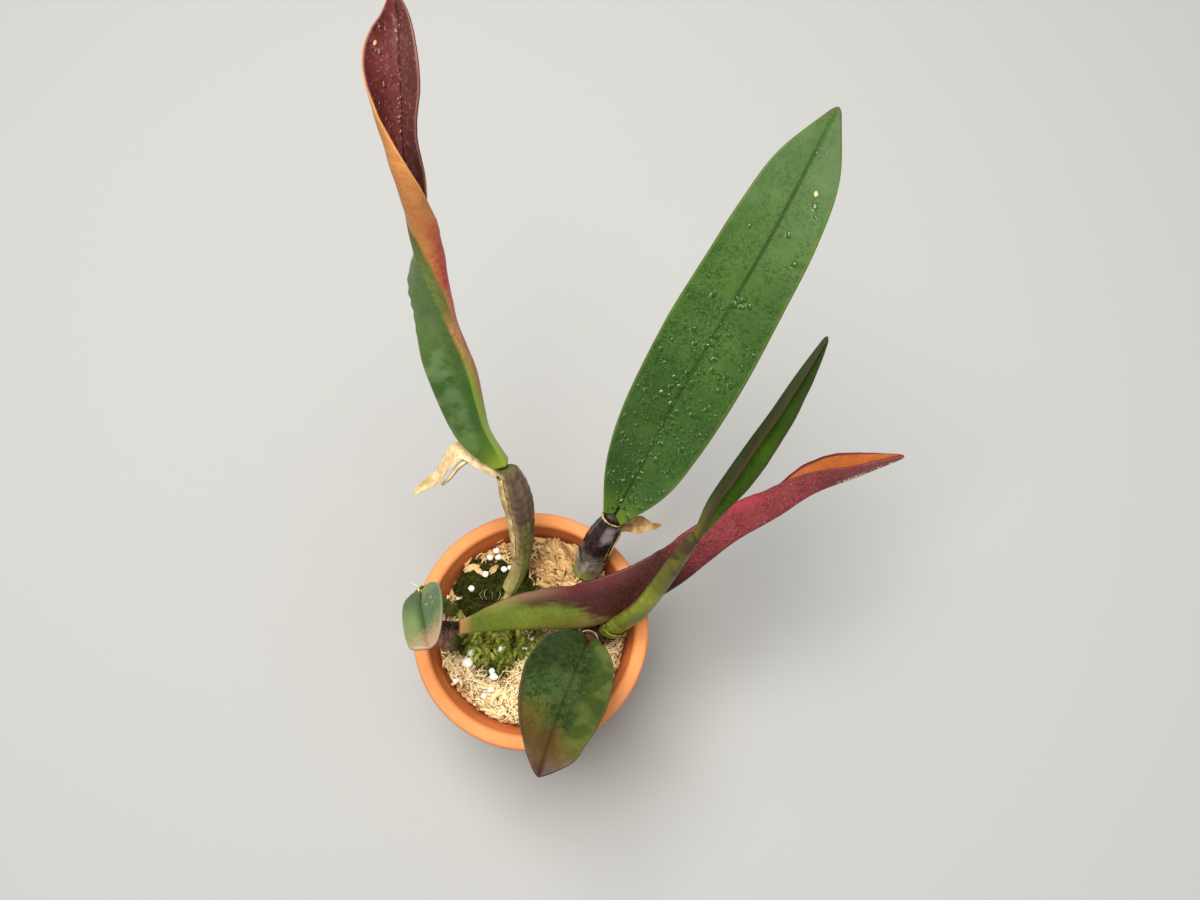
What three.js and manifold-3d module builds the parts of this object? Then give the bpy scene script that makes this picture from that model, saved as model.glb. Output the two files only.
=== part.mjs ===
// A cattleya orchid in a terracotta pot, in millimetres with +Z up.
// Everything is laid out round the pot's axis, with the pot's foot at z = 0. The last lines then
// move the whole plant so that the origin is at the middle of its bounding box, on the table.
import * as THREE from "three";
import { mergeVertices } from "three/addons/utils/BufferGeometryUtils.js";
import Module from "manifold-3d";

const wasm = await Module();
wasm.setup();

// Driving dimensions: a 4 inch clay pot, filled to 12 mm below its rim
const RIM_RADIUS = 52;
const POT_HEIGHT = 92;
const FOOT_RADIUS = 34;
const COLLAR_HEIGHT = 22;
const LIP_WIDTH = 6.6;
const FLOOR_THICKNESS = 9;
const DRAIN_RADIUS = 6;
const MEDIUM_DEPTH = 12;
const SURFACE = POT_HEIGHT - MEDIUM_DEPTH;

// Clearance between pieces that touch on the real plant
const GAP = 0.35;

// Fineness of the solids
const POT_SECTORS = 44;
const MEDIUM_SECTORS = 33;
const MERGE_REACH = 0.12;
const LEAF_STATIONS = 21;
const LEAF_ACROSS = 9;
const STEM_STATIONS = 10;
const STEM_SIDES = 16;

// How a blade's section keeps clear of itself: the share of the way to the midrib that its upper
// face may move inward, and how much thicker its midrib may be than its margin, per mm of width
const FOLD_ROOM = 0.6;
const NARROW_SHARE = 0.14;

// Papery sheaths: their thickness, and how far each point of a torn edge is torn back
const SHEATH_THICKNESS = 0.75;
const TEAR = [0, 0.5, 0.15, 0.8, 0.3, 1, 0.2, 0.65, 0.1, 0.9, 0.4];

// Seeded draws, so that the moss and the perlite fall the same way each time
function seededDraw(seed) {
  let state = seed;
  return function draw(low, high) {
    state = (state * 1664525 + 1013904223) % 4294967296;
    return low + (high - low) * (state / 4294967296);
  };
}

// A value along a list of numbers spread evenly from 0 to 1, on a smooth curve through them
function smoothAt(values, t) {
  const last = values.length - 1;
  const i = Math.min(Math.floor(t * last), last - 1);
  const f = t * last - i;
  const b = values[i];
  const c = values[i + 1];
  const a = i > 0 ? values[i - 1] : 2 * b - c;
  const d = i + 2 <= last ? values[i + 2] : 2 * c - b;
  return b + 0.5 * f * (c - a + f * (2 * a - 5 * b + 4 * c - d + f * (3 * (b - c) + d - a)));
}

function curveThrough(points) {
  const vectors = points.map((p) => new THREE.Vector3(...p));
  return new THREE.CatmullRomCurve3(vectors, false, "catmullrom", 0.5);
}

// A direction at right angles to the path, as near as can be to the one wanted
function squareTo(along, wanted) {
  return wanted.clone().addScaledVector(along, -wanted.dot(along)).normalize();
}

function geometryOf(vertices, triangles) {
  const geometry = new THREE.BufferGeometry();
  geometry.setAttribute("position", new THREE.Float32BufferAttribute(vertices, 3));
  geometry.setIndex(triangles);
  return geometry;
}

function solidOf(geometry) {
  const bare = geometry.clone();
  bare.deleteAttribute("normal");
  bare.deleteAttribute("uv");
  const merged = mergeVertices(bare, 1e-4);
  return new wasm.Manifold(
    new wasm.Mesh({
      numProp: 3,
      vertProperties: new Float32Array(merged.attributes.position.array),
      triVerts: new Uint32Array(merged.index.array),
    }),
  );
}

function bodiesBySize(solid) {
  return solid.decompose().sort((a, b) => b.volume() - a.volume());
}

function geometryFrom(solid, reach = 0) {
  const plain = reach > 0 ? solid.asOriginal().simplify(reach) : solid;
  // Scraps that a cut leaves loose are dropped
  const mesh = bodiesBySize(plain)[0].getMesh();
  return geometryOf(Array.from(mesh.vertProperties), Array.from(mesh.triVerts));
}

// A ring of points for each station, joined to the next ring and closed by a cap at both ends
function skin(rings) {
  const around = rings[0].length;
  const vertices = rings.flat().flatMap((p) => [p.x, p.y, p.z]);
  const triangles = [];
  for (let i = 0; i + 1 < rings.length; i += 1) {
    for (let k = 0; k < around; k += 1) {
      const a = i * around + k;
      const b = i * around + ((k + 1) % around);
      triangles.push(a, b, b + around, a, b + around, a + around);
    }
  }
  const first = 0;
  const last = (rings.length - 1) * around;
  for (let k = 1; k + 1 < around; k += 1) {
    triangles.push(first, first + k + 1, first + k);
    triangles.push(last, last + k, last + k + 1);
  }
  return geometryOf(vertices, triangles);
}

// Leaves and papery sheaths.
// A blade follows its midrib. At each station its face is turned by roll about the midrib,
// both halves rise by fold at the midrib and bend by curl on the way to the margin.
// The face points up at roll 0 and to the right of the midrib's run at roll 90.
function bladeFrame(blade, t) {
  const centre = blade.curve.getPointAt(t);
  const along = blade.curve.getTangentAt(t);
  const up = squareTo(along, new THREE.Vector3(0, 0, 1));
  const side = along.clone().cross(up);
  const roll = THREE.MathUtils.degToRad(smoothAt(blade.roll, t));
  const face = up.clone().multiplyScalar(Math.cos(roll)).addScaledVector(side, Math.sin(roll));
  const right = side.clone().multiplyScalar(Math.cos(roll)).addScaledVector(up, -Math.sin(roll));
  return { centre, face, right };
}

function bladeSection(blade, t, across) {
  const { centre, face, right } = bladeFrame(blade, t);
  const widthRight = smoothAt(blade.halfWidth, t);
  const widthLeft = smoothAt(blade.halfWidthLeft ?? blade.halfWidth, t);
  const fold = THREE.MathUtils.degToRad(smoothAt(blade.fold, t));
  const curlRight = THREE.MathUtils.degToRad(smoothAt(blade.curl, t));
  const curlLeft = THREE.MathUtils.degToRad(smoothAt(blade.curlLeft ?? blade.curl, t));
  const steps = (across - 1) / 2;
  const [midrib, margin] = blade.thickness;
  const middle = Math.min(midrib, margin + NARROW_SHARE * Math.min(widthRight, widthLeft));
  const upper = [];
  const lower = [];
  for (let j = -steps; j <= steps; j += 1) {
    const hand = Math.sign(j);
    const curl = hand < 0 ? curlLeft : curlRight;
    const step = (hand < 0 ? widthLeft : widthRight) / steps;
    let out = 0;
    let rise = 0;
    for (let k = 0; k < Math.abs(j); k += 1) {
      const slope = fold + (curl * (k + 0.5)) / steps;
      out += step * Math.cos(slope);
      rise += step * Math.sin(slope);
    }
    const share = Math.abs(j) / steps;
    const slope = j === 0 ? 0 : fold + curl * share;
    const half = 0.5 * (margin + (middle - margin) * (1 - share * share));
    const level = half * Math.cos(slope);
    const shift = half * Math.sin(slope);
    // Deep in the fold the upper face is held back, so that the two halves don't cross
    const inward = slope < Math.PI / 2 ? Math.min(shift, FOLD_ROOM * out) : shift;
    const upperPoint = centre.clone().addScaledVector(right, hand * (out - inward));
    const lowerPoint = centre.clone().addScaledVector(right, hand * (out + shift));
    upper.push(upperPoint.addScaledVector(face, rise + level));
    lower.push(lowerPoint.addScaledVector(face, rise - level));
  }
  return upper.concat(lower);
}

// A plate through sections that each list the upper points and then the lower points.
// Both faces are split along the same diagonal, so that a twisted plate keeps its thickness.
function plateGeometry(sections) {
  const across = sections[0].length / 2;
  const last = sections.length - 1;
  const end = across - 1;
  const vertices = sections.flat().flatMap((p) => [p.x, p.y, p.z]);
  const triangles = [];
  const upper = (i, j) => i * 2 * across + j;
  const lower = (i, j) => i * 2 * across + across + j;
  for (let i = 0; i < last; i += 1) {
    for (let j = 0; j < end; j += 1) {
      triangles.push(upper(i, j), upper(i, j + 1), upper(i + 1, j + 1));
      triangles.push(upper(i, j), upper(i + 1, j + 1), upper(i + 1, j));
      triangles.push(lower(i, j), lower(i + 1, j + 1), lower(i, j + 1));
      triangles.push(lower(i, j), lower(i + 1, j), lower(i + 1, j + 1));
    }
    triangles.push(upper(i, 0), upper(i + 1, 0), lower(i + 1, 0));
    triangles.push(upper(i, 0), lower(i + 1, 0), lower(i, 0));
    triangles.push(upper(i, end), lower(i + 1, end), upper(i + 1, end));
    triangles.push(upper(i, end), lower(i, end), lower(i + 1, end));
  }
  for (let j = 0; j < end; j += 1) {
    triangles.push(upper(0, j), lower(0, j), lower(0, j + 1));
    triangles.push(upper(0, j), lower(0, j + 1), upper(0, j + 1));
    triangles.push(upper(last, j), lower(last, j + 1), lower(last, j));
    triangles.push(upper(last, j), upper(last, j + 1), lower(last, j + 1));
  }
  return geometryOf(vertices, triangles);
}

function bladeGeometry(blade) {
  const stations = blade.stations ?? LEAF_STATIONS;
  const across = blade.across ?? LEAF_ACROSS;
  const shaped = { ...blade, curve: curveThrough(blade.midrib) };
  const sections = [];
  for (let i = 0; i < stations; i += 1) {
    sections.push(bladeSection(shaped, i / (stations - 1), across));
  }
  return plateGeometry(sections);
}

// Pseudobulbs, shoots, rhizome and roots.
// The radius is for the stem's broad way, and flat narrows it the other way.
function stemFrame(stem, curve, t) {
  const centre = curve.getPointAt(t);
  const along = curve.getTangentAt(t);
  const broad = squareTo(along, new THREE.Vector3(...(stem.broad ?? [1, 0, 0])));
  const narrow = along.clone().cross(broad);
  const radius = smoothAt(stem.radius, t);
  return { centre, along, broad, narrow, wide: radius, deep: radius * (stem.flat ?? 1) };
}

function stemPoint(frame, angle, lift, rib = 1) {
  const point = frame.centre.clone();
  point.addScaledVector(frame.broad, (frame.wide * rib + lift) * Math.cos(angle));
  point.addScaledVector(frame.narrow, (frame.deep * rib + lift) * Math.sin(angle));
  return point;
}

// A stem swept along its path. grow makes it larger all round, for cutting its hole.
function stemGeometry(stem, grow = 0) {
  const sides = stem.sides ?? STEM_SIDES;
  const stations = stem.stations ?? STEM_STATIONS;
  const curve = curveThrough(stem.path);
  const ribs = stem.ribs ?? 0;
  const rings = [];
  for (let i = 0; i < stations; i += 1) {
    const frame = stemFrame(stem, curve, i / (stations - 1));
    if (i === 0) frame.centre.addScaledVector(frame.along, -grow);
    if (i === stations - 1) frame.centre.addScaledVector(frame.along, grow);
    const ring = [];
    for (let k = 0; k < sides; k += 1) {
      const angle = (2 * Math.PI * k) / sides;
      ring.push(stemPoint(frame, angle, grow, 1 + ribs * Math.cos((angle * sides) / 2)));
    }
    rings.push(ring);
  }
  return skin(rings);
}

// A papery sheath wrapped round part of a stem, between two angles, with a torn far edge
function sheathGeometry(sheath) {
  const stations = sheath.stations ?? 6;
  const across = sheath.across ?? 15;
  const curve = curveThrough(sheath.stem.path);
  const sections = [];
  for (let i = 0; i < stations; i += 1) {
    const share = i / (stations - 1);
    const outer = [];
    const inner = [];
    for (let j = 0; j < across; j += 1) {
      const torn = share * (sheath.torn ?? 0) * TEAR[j % TEAR.length];
      const t = sheath.from + (sheath.to - sheath.from) * share - torn;
      const turn = sheath.start + ((sheath.end - sheath.start) * j) / (across - 1);
      const angle = THREE.MathUtils.degToRad(turn);
      const frame = stemFrame(sheath.stem, curve, t);
      const lift = GAP + smoothAt(sheath.flare, share);
      outer.push(stemPoint(frame, angle, lift + SHEATH_THICKNESS));
      inner.push(stemPoint(frame, angle, lift));
    }
    sections.push(outer.concat(inner));
  }
  return plateGeometry(sections);
}

// The pot: a thrown clay pot with a collar, a rounded lip and a drain hole
const WALL_SLOPE = 0.208;
const LIP_ROUND = 2.2;

function innerRadius(z) {
  return RIM_RADIUS - LIP_WIDTH - WALL_SLOPE * (POT_HEIGHT - z);
}

function potGeometry() {
  const collarFoot = POT_HEIGHT - COLLAR_HEIGHT;
  const collarRadius = RIM_RADIUS - 3;
  const bodyTop = collarRadius - 3.2;
  const lipTop = POT_HEIGHT - LIP_ROUND;
  const corner = (radius, z, from, to) => {
    const points = [];
    for (let k = 0; k <= 2; k += 1) {
      const angle = THREE.MathUtils.degToRad(from + ((to - from) * k) / 2);
      points.push(
        new THREE.Vector2(radius + LIP_ROUND * Math.cos(angle), z + LIP_ROUND * Math.sin(angle)),
      );
    }
    return points;
  };
  const floorEdge = innerRadius(FLOOR_THICKNESS + 4);
  const profile = [
    new THREE.Vector2(DRAIN_RADIUS, 0.8),
    new THREE.Vector2(DRAIN_RADIUS + 0.8, 0),
    new THREE.Vector2(FOOT_RADIUS - 1.5, 0),
    new THREE.Vector2(FOOT_RADIUS, 1.5),
    new THREE.Vector2((FOOT_RADIUS + bodyTop) / 2 + 0.4, collarFoot / 2),
    new THREE.Vector2(bodyTop, collarFoot - 1.2),
    new THREE.Vector2(bodyTop + 0.8, collarFoot),
    new THREE.Vector2(collarRadius - 1, collarFoot),
    new THREE.Vector2(collarRadius, collarFoot + 1),
    ...corner(RIM_RADIUS - LIP_ROUND, lipTop, 0, 90),
    ...corner(RIM_RADIUS - LIP_WIDTH + LIP_ROUND, lipTop, 90, 180),
    new THREE.Vector2(innerRadius(SURFACE), SURFACE),
    new THREE.Vector2(floorEdge, FLOOR_THICKNESS + 4),
    new THREE.Vector2(floorEdge - 4, FLOOR_THICKNESS),
    new THREE.Vector2(DRAIN_RADIUS + 0.8, FLOOR_THICKNESS),
    new THREE.Vector2(DRAIN_RADIUS, FLOOR_THICKNESS - 0.8),
  ];
  profile.push(profile[0].clone());
  const lathe = new THREE.LatheGeometry(profile, POT_SECTORS);
  lathe.rotateX(Math.PI / 2);
  return geometryFrom(solidOf(lathe));
}

// The growing medium: dry sphagnum packed to the pot's wall, heaped where the photo shows it
const HEAPS = [
  { x: 14, y: 28, reach: 13, height: 4.5 },
  { x: -26, y: -22, reach: 12, height: 1.5 },
  { x: 4, y: -30, reach: 13, height: 1.8 },
  { x: -24, y: 30, reach: 9, height: 1.2 },
];

function surfaceHeight(x, y) {
  let z = SURFACE;
  for (const heap of HEAPS) {
    const near = Math.hypot(x - heap.x, y - heap.y) / heap.reach;
    z += heap.height * Math.exp(-near * near);
  }
  return z + 0.7 * Math.sin(0.61 * x + 1.3) * Math.cos(0.53 * y - 0.4);
}

function mediumBase() {
  const topRings = 6;
  const wall = [SURFACE - 6, FLOOR_THICKNESS + 5, FLOOR_THICKNESS + GAP];
  const rings = [];
  for (let i = 1; i <= topRings; i += 1) {
    const share = i / topRings;
    const ring = [];
    for (let k = 0; k < MEDIUM_SECTORS; k += 1) {
      const angle = (2 * Math.PI * k) / MEDIUM_SECTORS;
      const radius = share * (innerRadius(SURFACE - 1.5) - GAP);
      const x = radius * Math.cos(angle);
      const y = radius * Math.sin(angle);
      ring.push(new THREE.Vector3(x, y, surfaceHeight(x, y) - (i === topRings ? 1.5 : 0)));
    }
    rings.push(ring);
  }
  wall.forEach((z, i) => {
    const radius = innerRadius(z) - GAP - (i === wall.length - 1 ? 4 : 0);
    const ring = [];
    for (let k = 0; k < MEDIUM_SECTORS; k += 1) {
      const angle = (2 * Math.PI * k) / MEDIUM_SECTORS;
      ring.push(new THREE.Vector3(radius * Math.cos(angle), radius * Math.sin(angle), z));
    }
    rings.push(ring);
  });
  return solidOf(skin(rings.reverse()));
}

// The mat of living moss round the stems, with a wandering outline. The share is 0 at its
// middle and 1 at its edge.
const MAT = { x: -16, y: 8, wide: 22, long: 27, height: 2 };

function matEdge(angle) {
  return 1 + 0.1 * Math.sin(3 * angle + 0.7) + 0.07 * Math.sin(5 * angle + 2.1);
}

function matShare(x, y) {
  const u = (x - MAT.x) / MAT.wide;
  const v = (y - MAT.y) / MAT.long;
  return Math.hypot(u, v) / matEdge(Math.atan2(v, u));
}

function groundHeight(x, y) {
  const share = matShare(x, y);
  const mat = share < 1 ? MAT.height * (1 - share ** 4) : 0;
  return surfaceHeight(x, y) + mat;
}

function matBase() {
  const shares = [0.12, 0.4, 0.68, 0.88, 1];
  const sectors = 24;
  const ringAt = (share, heightAt) => {
    const ring = [];
    for (let k = 0; k < sectors; k += 1) {
      const angle = (2 * Math.PI * k) / sectors;
      const reach = share * matEdge(angle);
      const x = MAT.x + MAT.wide * reach * Math.cos(angle);
      const y = MAT.y + MAT.long * reach * Math.sin(angle);
      const held = Math.min(1, (innerRadius(SURFACE - 3) - 2 * GAP) / Math.hypot(x, y));
      ring.push(new THREE.Vector3(held * x, held * y, heightAt(held * x, held * y)));
    }
    return ring;
  };
  const tufted = (x, y) => groundHeight(x, y) + 0.45 * Math.sin(1.1 * x) * Math.cos(0.9 * y);
  const rings = shares.map((share) => ringAt(share, tufted));
  rings.push(ringAt(0.97, () => SURFACE - 3));
  return solidOf(skin(rings.reverse()));
}

// A strand lying on the ground, its ends sunk in
function strandSolid(x, y, heading, length, width, hump) {
  const path = [];
  for (const share of [-0.5, -0.2, 0.15, 0.5]) {
    const px = x + length * share * Math.cos(heading + share);
    const py = y + length * share * Math.sin(heading + share);
    const lift = hump * (1 - 4 * share * share) - 1.2 * Math.abs(2 * share);
    path.push([px, py, groundHeight(px, py) + lift]);
  }
  return solidOf(
    stemGeometry({
      path,
      radius: [0.4 * width, 0.5 * width, 0.5 * width, 0.3 * width],
      flat: 0.6,
      broad: [-Math.sin(heading), Math.cos(heading), 0],
      sides: 4,
      stations: 4,
    }),
  );
}

// Strands of dry sphagnum: anywhere on the medium, along the wall near the wall
const DRY_STRANDS = 36;
const HEAP_STRANDS = 10;

function dryStrands() {
  const draw = seededDraw(41);
  const strands = [];
  while (strands.length < DRY_STRANDS) {
    const angle = draw(0, 2 * Math.PI);
    const radius = 39 * Math.sqrt(draw(0.02, 1));
    const x = radius * Math.cos(angle);
    const y = radius * Math.sin(angle);
    const heading = radius > 31 ? angle + Math.PI / 2 + draw(-0.3, 0.3) : draw(0, Math.PI);
    const length = draw(8, 14);
    const clear = [-0.6, 0, 0.6].every((share) => {
      const px = x + length * share * Math.cos(heading);
      const py = y + length * share * Math.sin(heading);
      return matShare(px, py) > 1.16;
    });
    if (clear) strands.push(strandSolid(x, y, heading, length, draw(2, 3), draw(1.2, 2.4)));
  }
  const heap = HEAPS[0];
  for (let n = 0; n < HEAP_STRANDS; n += 1) {
    const x = heap.x + draw(-9, 9);
    const y = heap.y + draw(-8, 8);
    strands.push(strandSolid(x, y, draw(0, Math.PI), draw(7, 13), draw(2.4, 3.4), draw(1.6, 3)));
  }
  return strands;
}

// Short leafy shoots of the living moss
const MOSS_SHOOTS = 10;

function mossShoots() {
  const draw = seededDraw(7);
  const shoots = [];
  while (shoots.length < MOSS_SHOOTS) {
    const x = MAT.x + MAT.wide * draw(-0.8, 0.8);
    const y = MAT.y + MAT.long * draw(-0.8, 0.8);
    if (matShare(x, y) < 0.62) {
      const heading = draw(0, Math.PI);
      shoots.push(strandSolid(x, y, heading, draw(4, 8), draw(1.4, 2.2), draw(0.6, 1.4)));
    }
  }
  return shoots;
}

// Perlite grains: x, y, radius
const GRAINS_ON_MOSS = [
  [-20.3, 31.4, 1.5], [-17.2, 29.8, 1.4], [-14, 26.6, 1.5], [-11.4, 27.2, 1.3], [-22.3, 25, 1.4],
  [-27.4, 17.8, 1.4], [-15.5, -7.6, 1.6], [-5, -8.4, 1.5], [-17, -15.6, 1.3],
];
const GRAINS_ON_MEDIUM = [
  [-32.2, -14.6, 2.1], [-31.4, -19.4, 2.4], [-18.6, -24.2, 1.5], [-21.6, -27.4, 1.4], [6.6, 39, 1.5],
  [21, -22, 1.5], [-33.5, -22.5, 1.4],
];

function grainSolids(grains, seed) {
  const draw = seededDraw(seed);
  return grains.map(([x, y, radius]) => {
    const grain = new THREE.IcosahedronGeometry(radius, 0);
    grain.rotateX(draw(0, 3));
    grain.rotateZ(draw(0, 3));
    grain.scale(1, draw(0.75, 1), 0.85);
    grain.translate(x, y, groundHeight(x, y) + 0.25 * radius);
    return solidOf(grain);
  });
}

// The plant's own shape: points along each middle line, then lists spread evenly along it.
// Stems: each pseudobulb stands by the rhizome and tapers to its foot.
const BULB_1 = {
  path: [
    [-11, 18, 79], [-6.4, 25.3, 88], [-3.4, 35, 103], [-3.2, 46, 117], [-5.2, 55.5, 130],
    [-7.8, 61.5, 138],
  ],
  radius: [3.6, 4.2, 5.4, 6.2, 6.2, 5],
  flat: 0.85,
  ribs: 0.05,
};
const BULB_2 = {
  path: [[22.5, 23.3, 79], [25.7, 28, 93], [29, 34, 106], [33.3, 40.3, 116], [37.2, 45, 123]],
  radius: [4.2, 5.4, 6.2, 6.2, 4.8],
  flat: 0.9,
  ribs: 0.03,
};
const BULB_4 = {
  path: [
    [-34.5, -5.5, 79], [-36.2, -5.2, 91], [-36.5, -4.6, 105], [-34.5, -3.3, 115],
    [-31.5, -2.8, 119.5],
  ],
  radius: [3.4, 4, 4.8, 4.6, 4.2],
  ribs: 0.05,
};
const BULB_5 = {
  path: [[-35.5, 9, 79], [-38, 9.5, 91], [-41.5, 10.5, 105], [-44, 11.5, 119]],
  radius: [2.8, 3.2, 3.6, 2.8],
};
const BULB_6 = {
  path: [[22.5, -8, 79], [23.8, -7.6, 90], [25.2, -7.2, 102], [25.6, -6.6, 110]],
  radius: [3.2, 4, 4, 3],
};
const SHOOT_3 = {
  path: [
    [29, -1.5, 81], [34.5, -1, 94], [41.5, 1.8, 110], [48.5, 6.5, 122], [55.2, 14.2, 135],
    [62, 23, 147], [67.6, 30.2, 157.2],
  ],
  radius: [4.2, 4.6, 4.6, 4.6, 4.2, 3.2],
  flat: 0.7,
};

// Leaves: fold, curl and roll are in degrees, the thickness is at the midrib and the margin
const LEAF_1 = {
  stations: 28,
  midrib: [
    [-8.6, 61.8, 139.5], [-16.6, 73, 154], [-21, 90, 177], [-26.5, 103, 198],
    [-31.2, 114, 213], [-34, 125, 227], [-34, 135, 239], [-33.4, 144.5, 248],
    [-32.6, 154, 257], [-32.4, 163, 264], [-32.4, 174, 269], [-34.5, 183, 272],
  ],
  halfWidth: [4, 12, 15.2, 15, 13, 10, 11, 10.5, 1],
  halfWidthLeft: [4, 10.5, 12.5, 14, 14, 14, 15, 15, 1],
  roll: [191, 209, 203, 180, 136, 72, -18, -19, -20],
  fold: [55, 33, 29, 39, 16, 0, 18, 21, 27],
  curl: [10, 20, 15, 15, 30, 120, 35, 20, 10],
  curlLeft: [20, 35, 50, 80, 160, 200, 172, 80, 40],
  thickness: [2.4, 0.8],
};
const LEAF_2 = {
  midrib: [
    [37.1, 44.9, 122.6], [47.5, 60.5, 141], [56, 75, 156], [72.5, 99, 184], [93, 130, 212],
    [114.5, 169, 230],
  ],
  halfWidth: [4, 14.3, 17.8, 19, 19.2, 17.7, 16, 12, 1.2],
  roll: [0, 0, 0, 0, 0, 0, 0, 0, 0],
  fold: [40, 18, 10, 8, 8, 8, 8, 8, 8],
  curl: [10, 6, 4, 4, 4, 4, 4, 4, 4],
  thickness: [2.4, 0.8],
};
const LEAF_3 = {
  stations: 16,
  across: 7,
  midrib: [
    [67.5, 30, 157], [72.4, 40.3, 169], [78.5, 48.5, 183], [84.2, 55.4, 198],
    [90, 62, 214], [95.5, 69, 231], [101.2, 75.6, 248],
  ],
  halfWidth: [3.2, 6.2, 7.8, 9.6, 8.8, 7.5, 6.2, 4, 0.8],
  roll: [55, 55, 55, 55, 55, 55, 55, 55, 55],
  fold: [60, 56, 56, 56, 56, 56, 56, 58, 60],
  curl: [5, 5, 5, 5, 5, 5, 5, 5, 5],
  thickness: [1.8, 0.8],
};
const LEAF_4 = {
  midrib: [
    [-27.5, -3.7, 120.5], [-13, -1.6, 115], [5, -0.3, 110], [24, 0.6, 105],
    [43.5, 7.2, 104], [63, 17.8, 108], [75.4, 26.8, 114], [87.7, 35.6, 120],
    [104, 44, 129], [118.3, 52.4, 136], [135.2, 57.6, 144], [152, 62.7, 152],
  ],
  halfWidth: [4, 13, 18.6, 18, 16, 13.4, 11, 9.3, 1],
  halfWidthLeft: [4, 12.5, 17, 16.5, 15, 13, 12, 11.2, 1],
  roll: [-84, -86, -84, -84, -84, -84, -76, -48, -42],
  fold: [50, 58, 62, 62, 62, 62, 60, 62, 62],
  curl: [15, 20, 20, 20, 20, 20, 15, 5, 5],
  thickness: [2.2, 0.8],
};
const LEAF_5 = {
  stations: 11,
  across: 7,
  midrib: [[-44, 12, 118.8], [-41.5, 5.6, 132], [-38.3, -3.1, 140], [-35.2, -12.5, 146]],
  halfWidth: [2.5, 7, 9.5, 10, 8, 4.5, 1],
  halfWidthLeft: [4, 10.5, 11.5, 10.5, 8, 5, 1],
  roll: [-12, -12, -12, -12, -12],
  fold: [45, 38, 35, 35, 30],
  curl: [20, 25, 25, 25, 20],
  thickness: [1.8, 0.8],
};
const LEAF_6 = {
  stations: 16,
  midrib: [
    [25.5, -7, 111.3], [19.5, -23, 124], [14.5, -37, 134.5], [10.5, -49.5, 143.5],
    [7.7, -59.5, 148],
  ],
  halfWidth: [6, 16.5, 19.3, 20.2, 19, 16.8, 13.3, 8, 1.5],
  halfWidthLeft: [5, 12.8, 16, 17, 17.1, 16, 14, 11.3, 1.5],
  roll: [0, 0, 0, 0, 0, 0, 0],
  fold: [40, 16, 10, 8, 8, 8, 8],
  curl: [10, 6, 4, 4, 4, 4, 4],
  thickness: [2.2, 0.8],
};

// The rhizome creeps under the moss and sends a short branch to each pseudobulb
const RHIZOME = [
  {
    stations: 9,
    path: [[-34, -3.5, 79], [-24, 4, 80], [-8, 6, 81], [10, 5, 80], [29, 0, 79.5]],
    radius: [3.2, 4, 4.2, 4, 3.4],
  },
  { path: [[-29, 1, 79], [-32, 5, 79.5], [-35, 9, 79]], radius: [2.6, 2.8, 2.4] },
  { path: [[-10, 7, 80], [-12, 12, 80.5], [-11, 17, 79]], radius: [3.2, 3.4, 3] },
  { path: [[12, 6, 80], [17, 14, 80.5], [22, 22, 79]], radius: [3.2, 3.6, 3.4] },
  { path: [[18, 3, 80], [20, -3, 80], [22, -8, 79]], radius: [2.6, 2.8, 2.4] },
];
const RHIZOME_STEM = { flat: 0.85, ribs: 0.06, broad: [0, 0, 1], sides: 8, stations: 6 };

// Roots leave the rhizome toward the front of the pot and dive into the moss
const ROOT_COUNT = 8;

function rootStems() {
  const draw = seededDraw(19);
  const roots = [];
  for (let n = 0; n < ROOT_COUNT; n += 1) {
    const x = -27 + 4.3 * n + draw(-0.8, 0.8);
    const reach = draw(15, 21);
    const bend = draw(-3, 3);
    const path = [[x, 4, 79.5]];
    for (const [share, lift] of [[0.4, 1.4], [0.75, 1.2], [1, -2.6]]) {
      const px = x + bend * share;
      const py = 4 - reach * share;
      path.push([px, py, groundHeight(px, py) + lift * draw(0.8, 1.1)]);
    }
    roots.push({ path, radius: [1.7, 1.6, 1.4, 1], broad: [1, 0, 0], sides: 5, stations: 6 });
  }
  return roots;
}

// Papery sheaths and bracts round the stems
const SHEATH_1 = {
  stem: BULB_1, from: 0.32, to: 0.97, start: 165, end: 235,
  flare: [0, 0, 0.3], torn: 0.05, across: 6, stations: 9,
};
const SHEATH_2 = {
  stem: BULB_2, from: 0.19, to: 0.52, start: 115, end: 425,
  flare: [0, 0.2, 0.5], torn: 0.09, across: 17, stations: 5,
};
const SHEATH_2_RING = {
  stem: BULB_2, from: 0.9, to: 0.97, start: 100, end: 420,
  flare: [0, 0.1, 0.4], torn: 0, across: 15, stations: 3,
};
const SHEATH_2_STRIP = {
  stem: BULB_2, from: 0.58, to: 0.78, start: -10, end: 45,
  flare: [0.1, 0, 0.2], torn: 0.04, across: 5,
};
const SCALE_3 = {
  stem: SHOOT_3, from: 0.05, to: 0.15, start: 100, end: 440,
  flare: [0.2, 0.6, 0.4], torn: 0.01, across: 15, stations: 4,
};
const BRACT_3 = {
  stem: SHOOT_3, from: 0.17, to: 0.25, start: 170, end: 400,
  flare: [0.1, 0.2, 0.2], torn: 0.03, across: 13, stations: 5,
};
const SHEATH_6 = {
  stem: BULB_6, from: 0.82, to: 0.97, start: 300, end: 600,
  flare: [0, 0.2, 0.6], torn: 0.03, across: 13, stations: 4,
};
const SHEATH_5 = {
  stem: BULB_5, from: 0.7, to: 0.97, start: 20, end: 200,
  flare: [0, 0.3, 0.8], torn: 0.08, across: 9,
};
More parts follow.
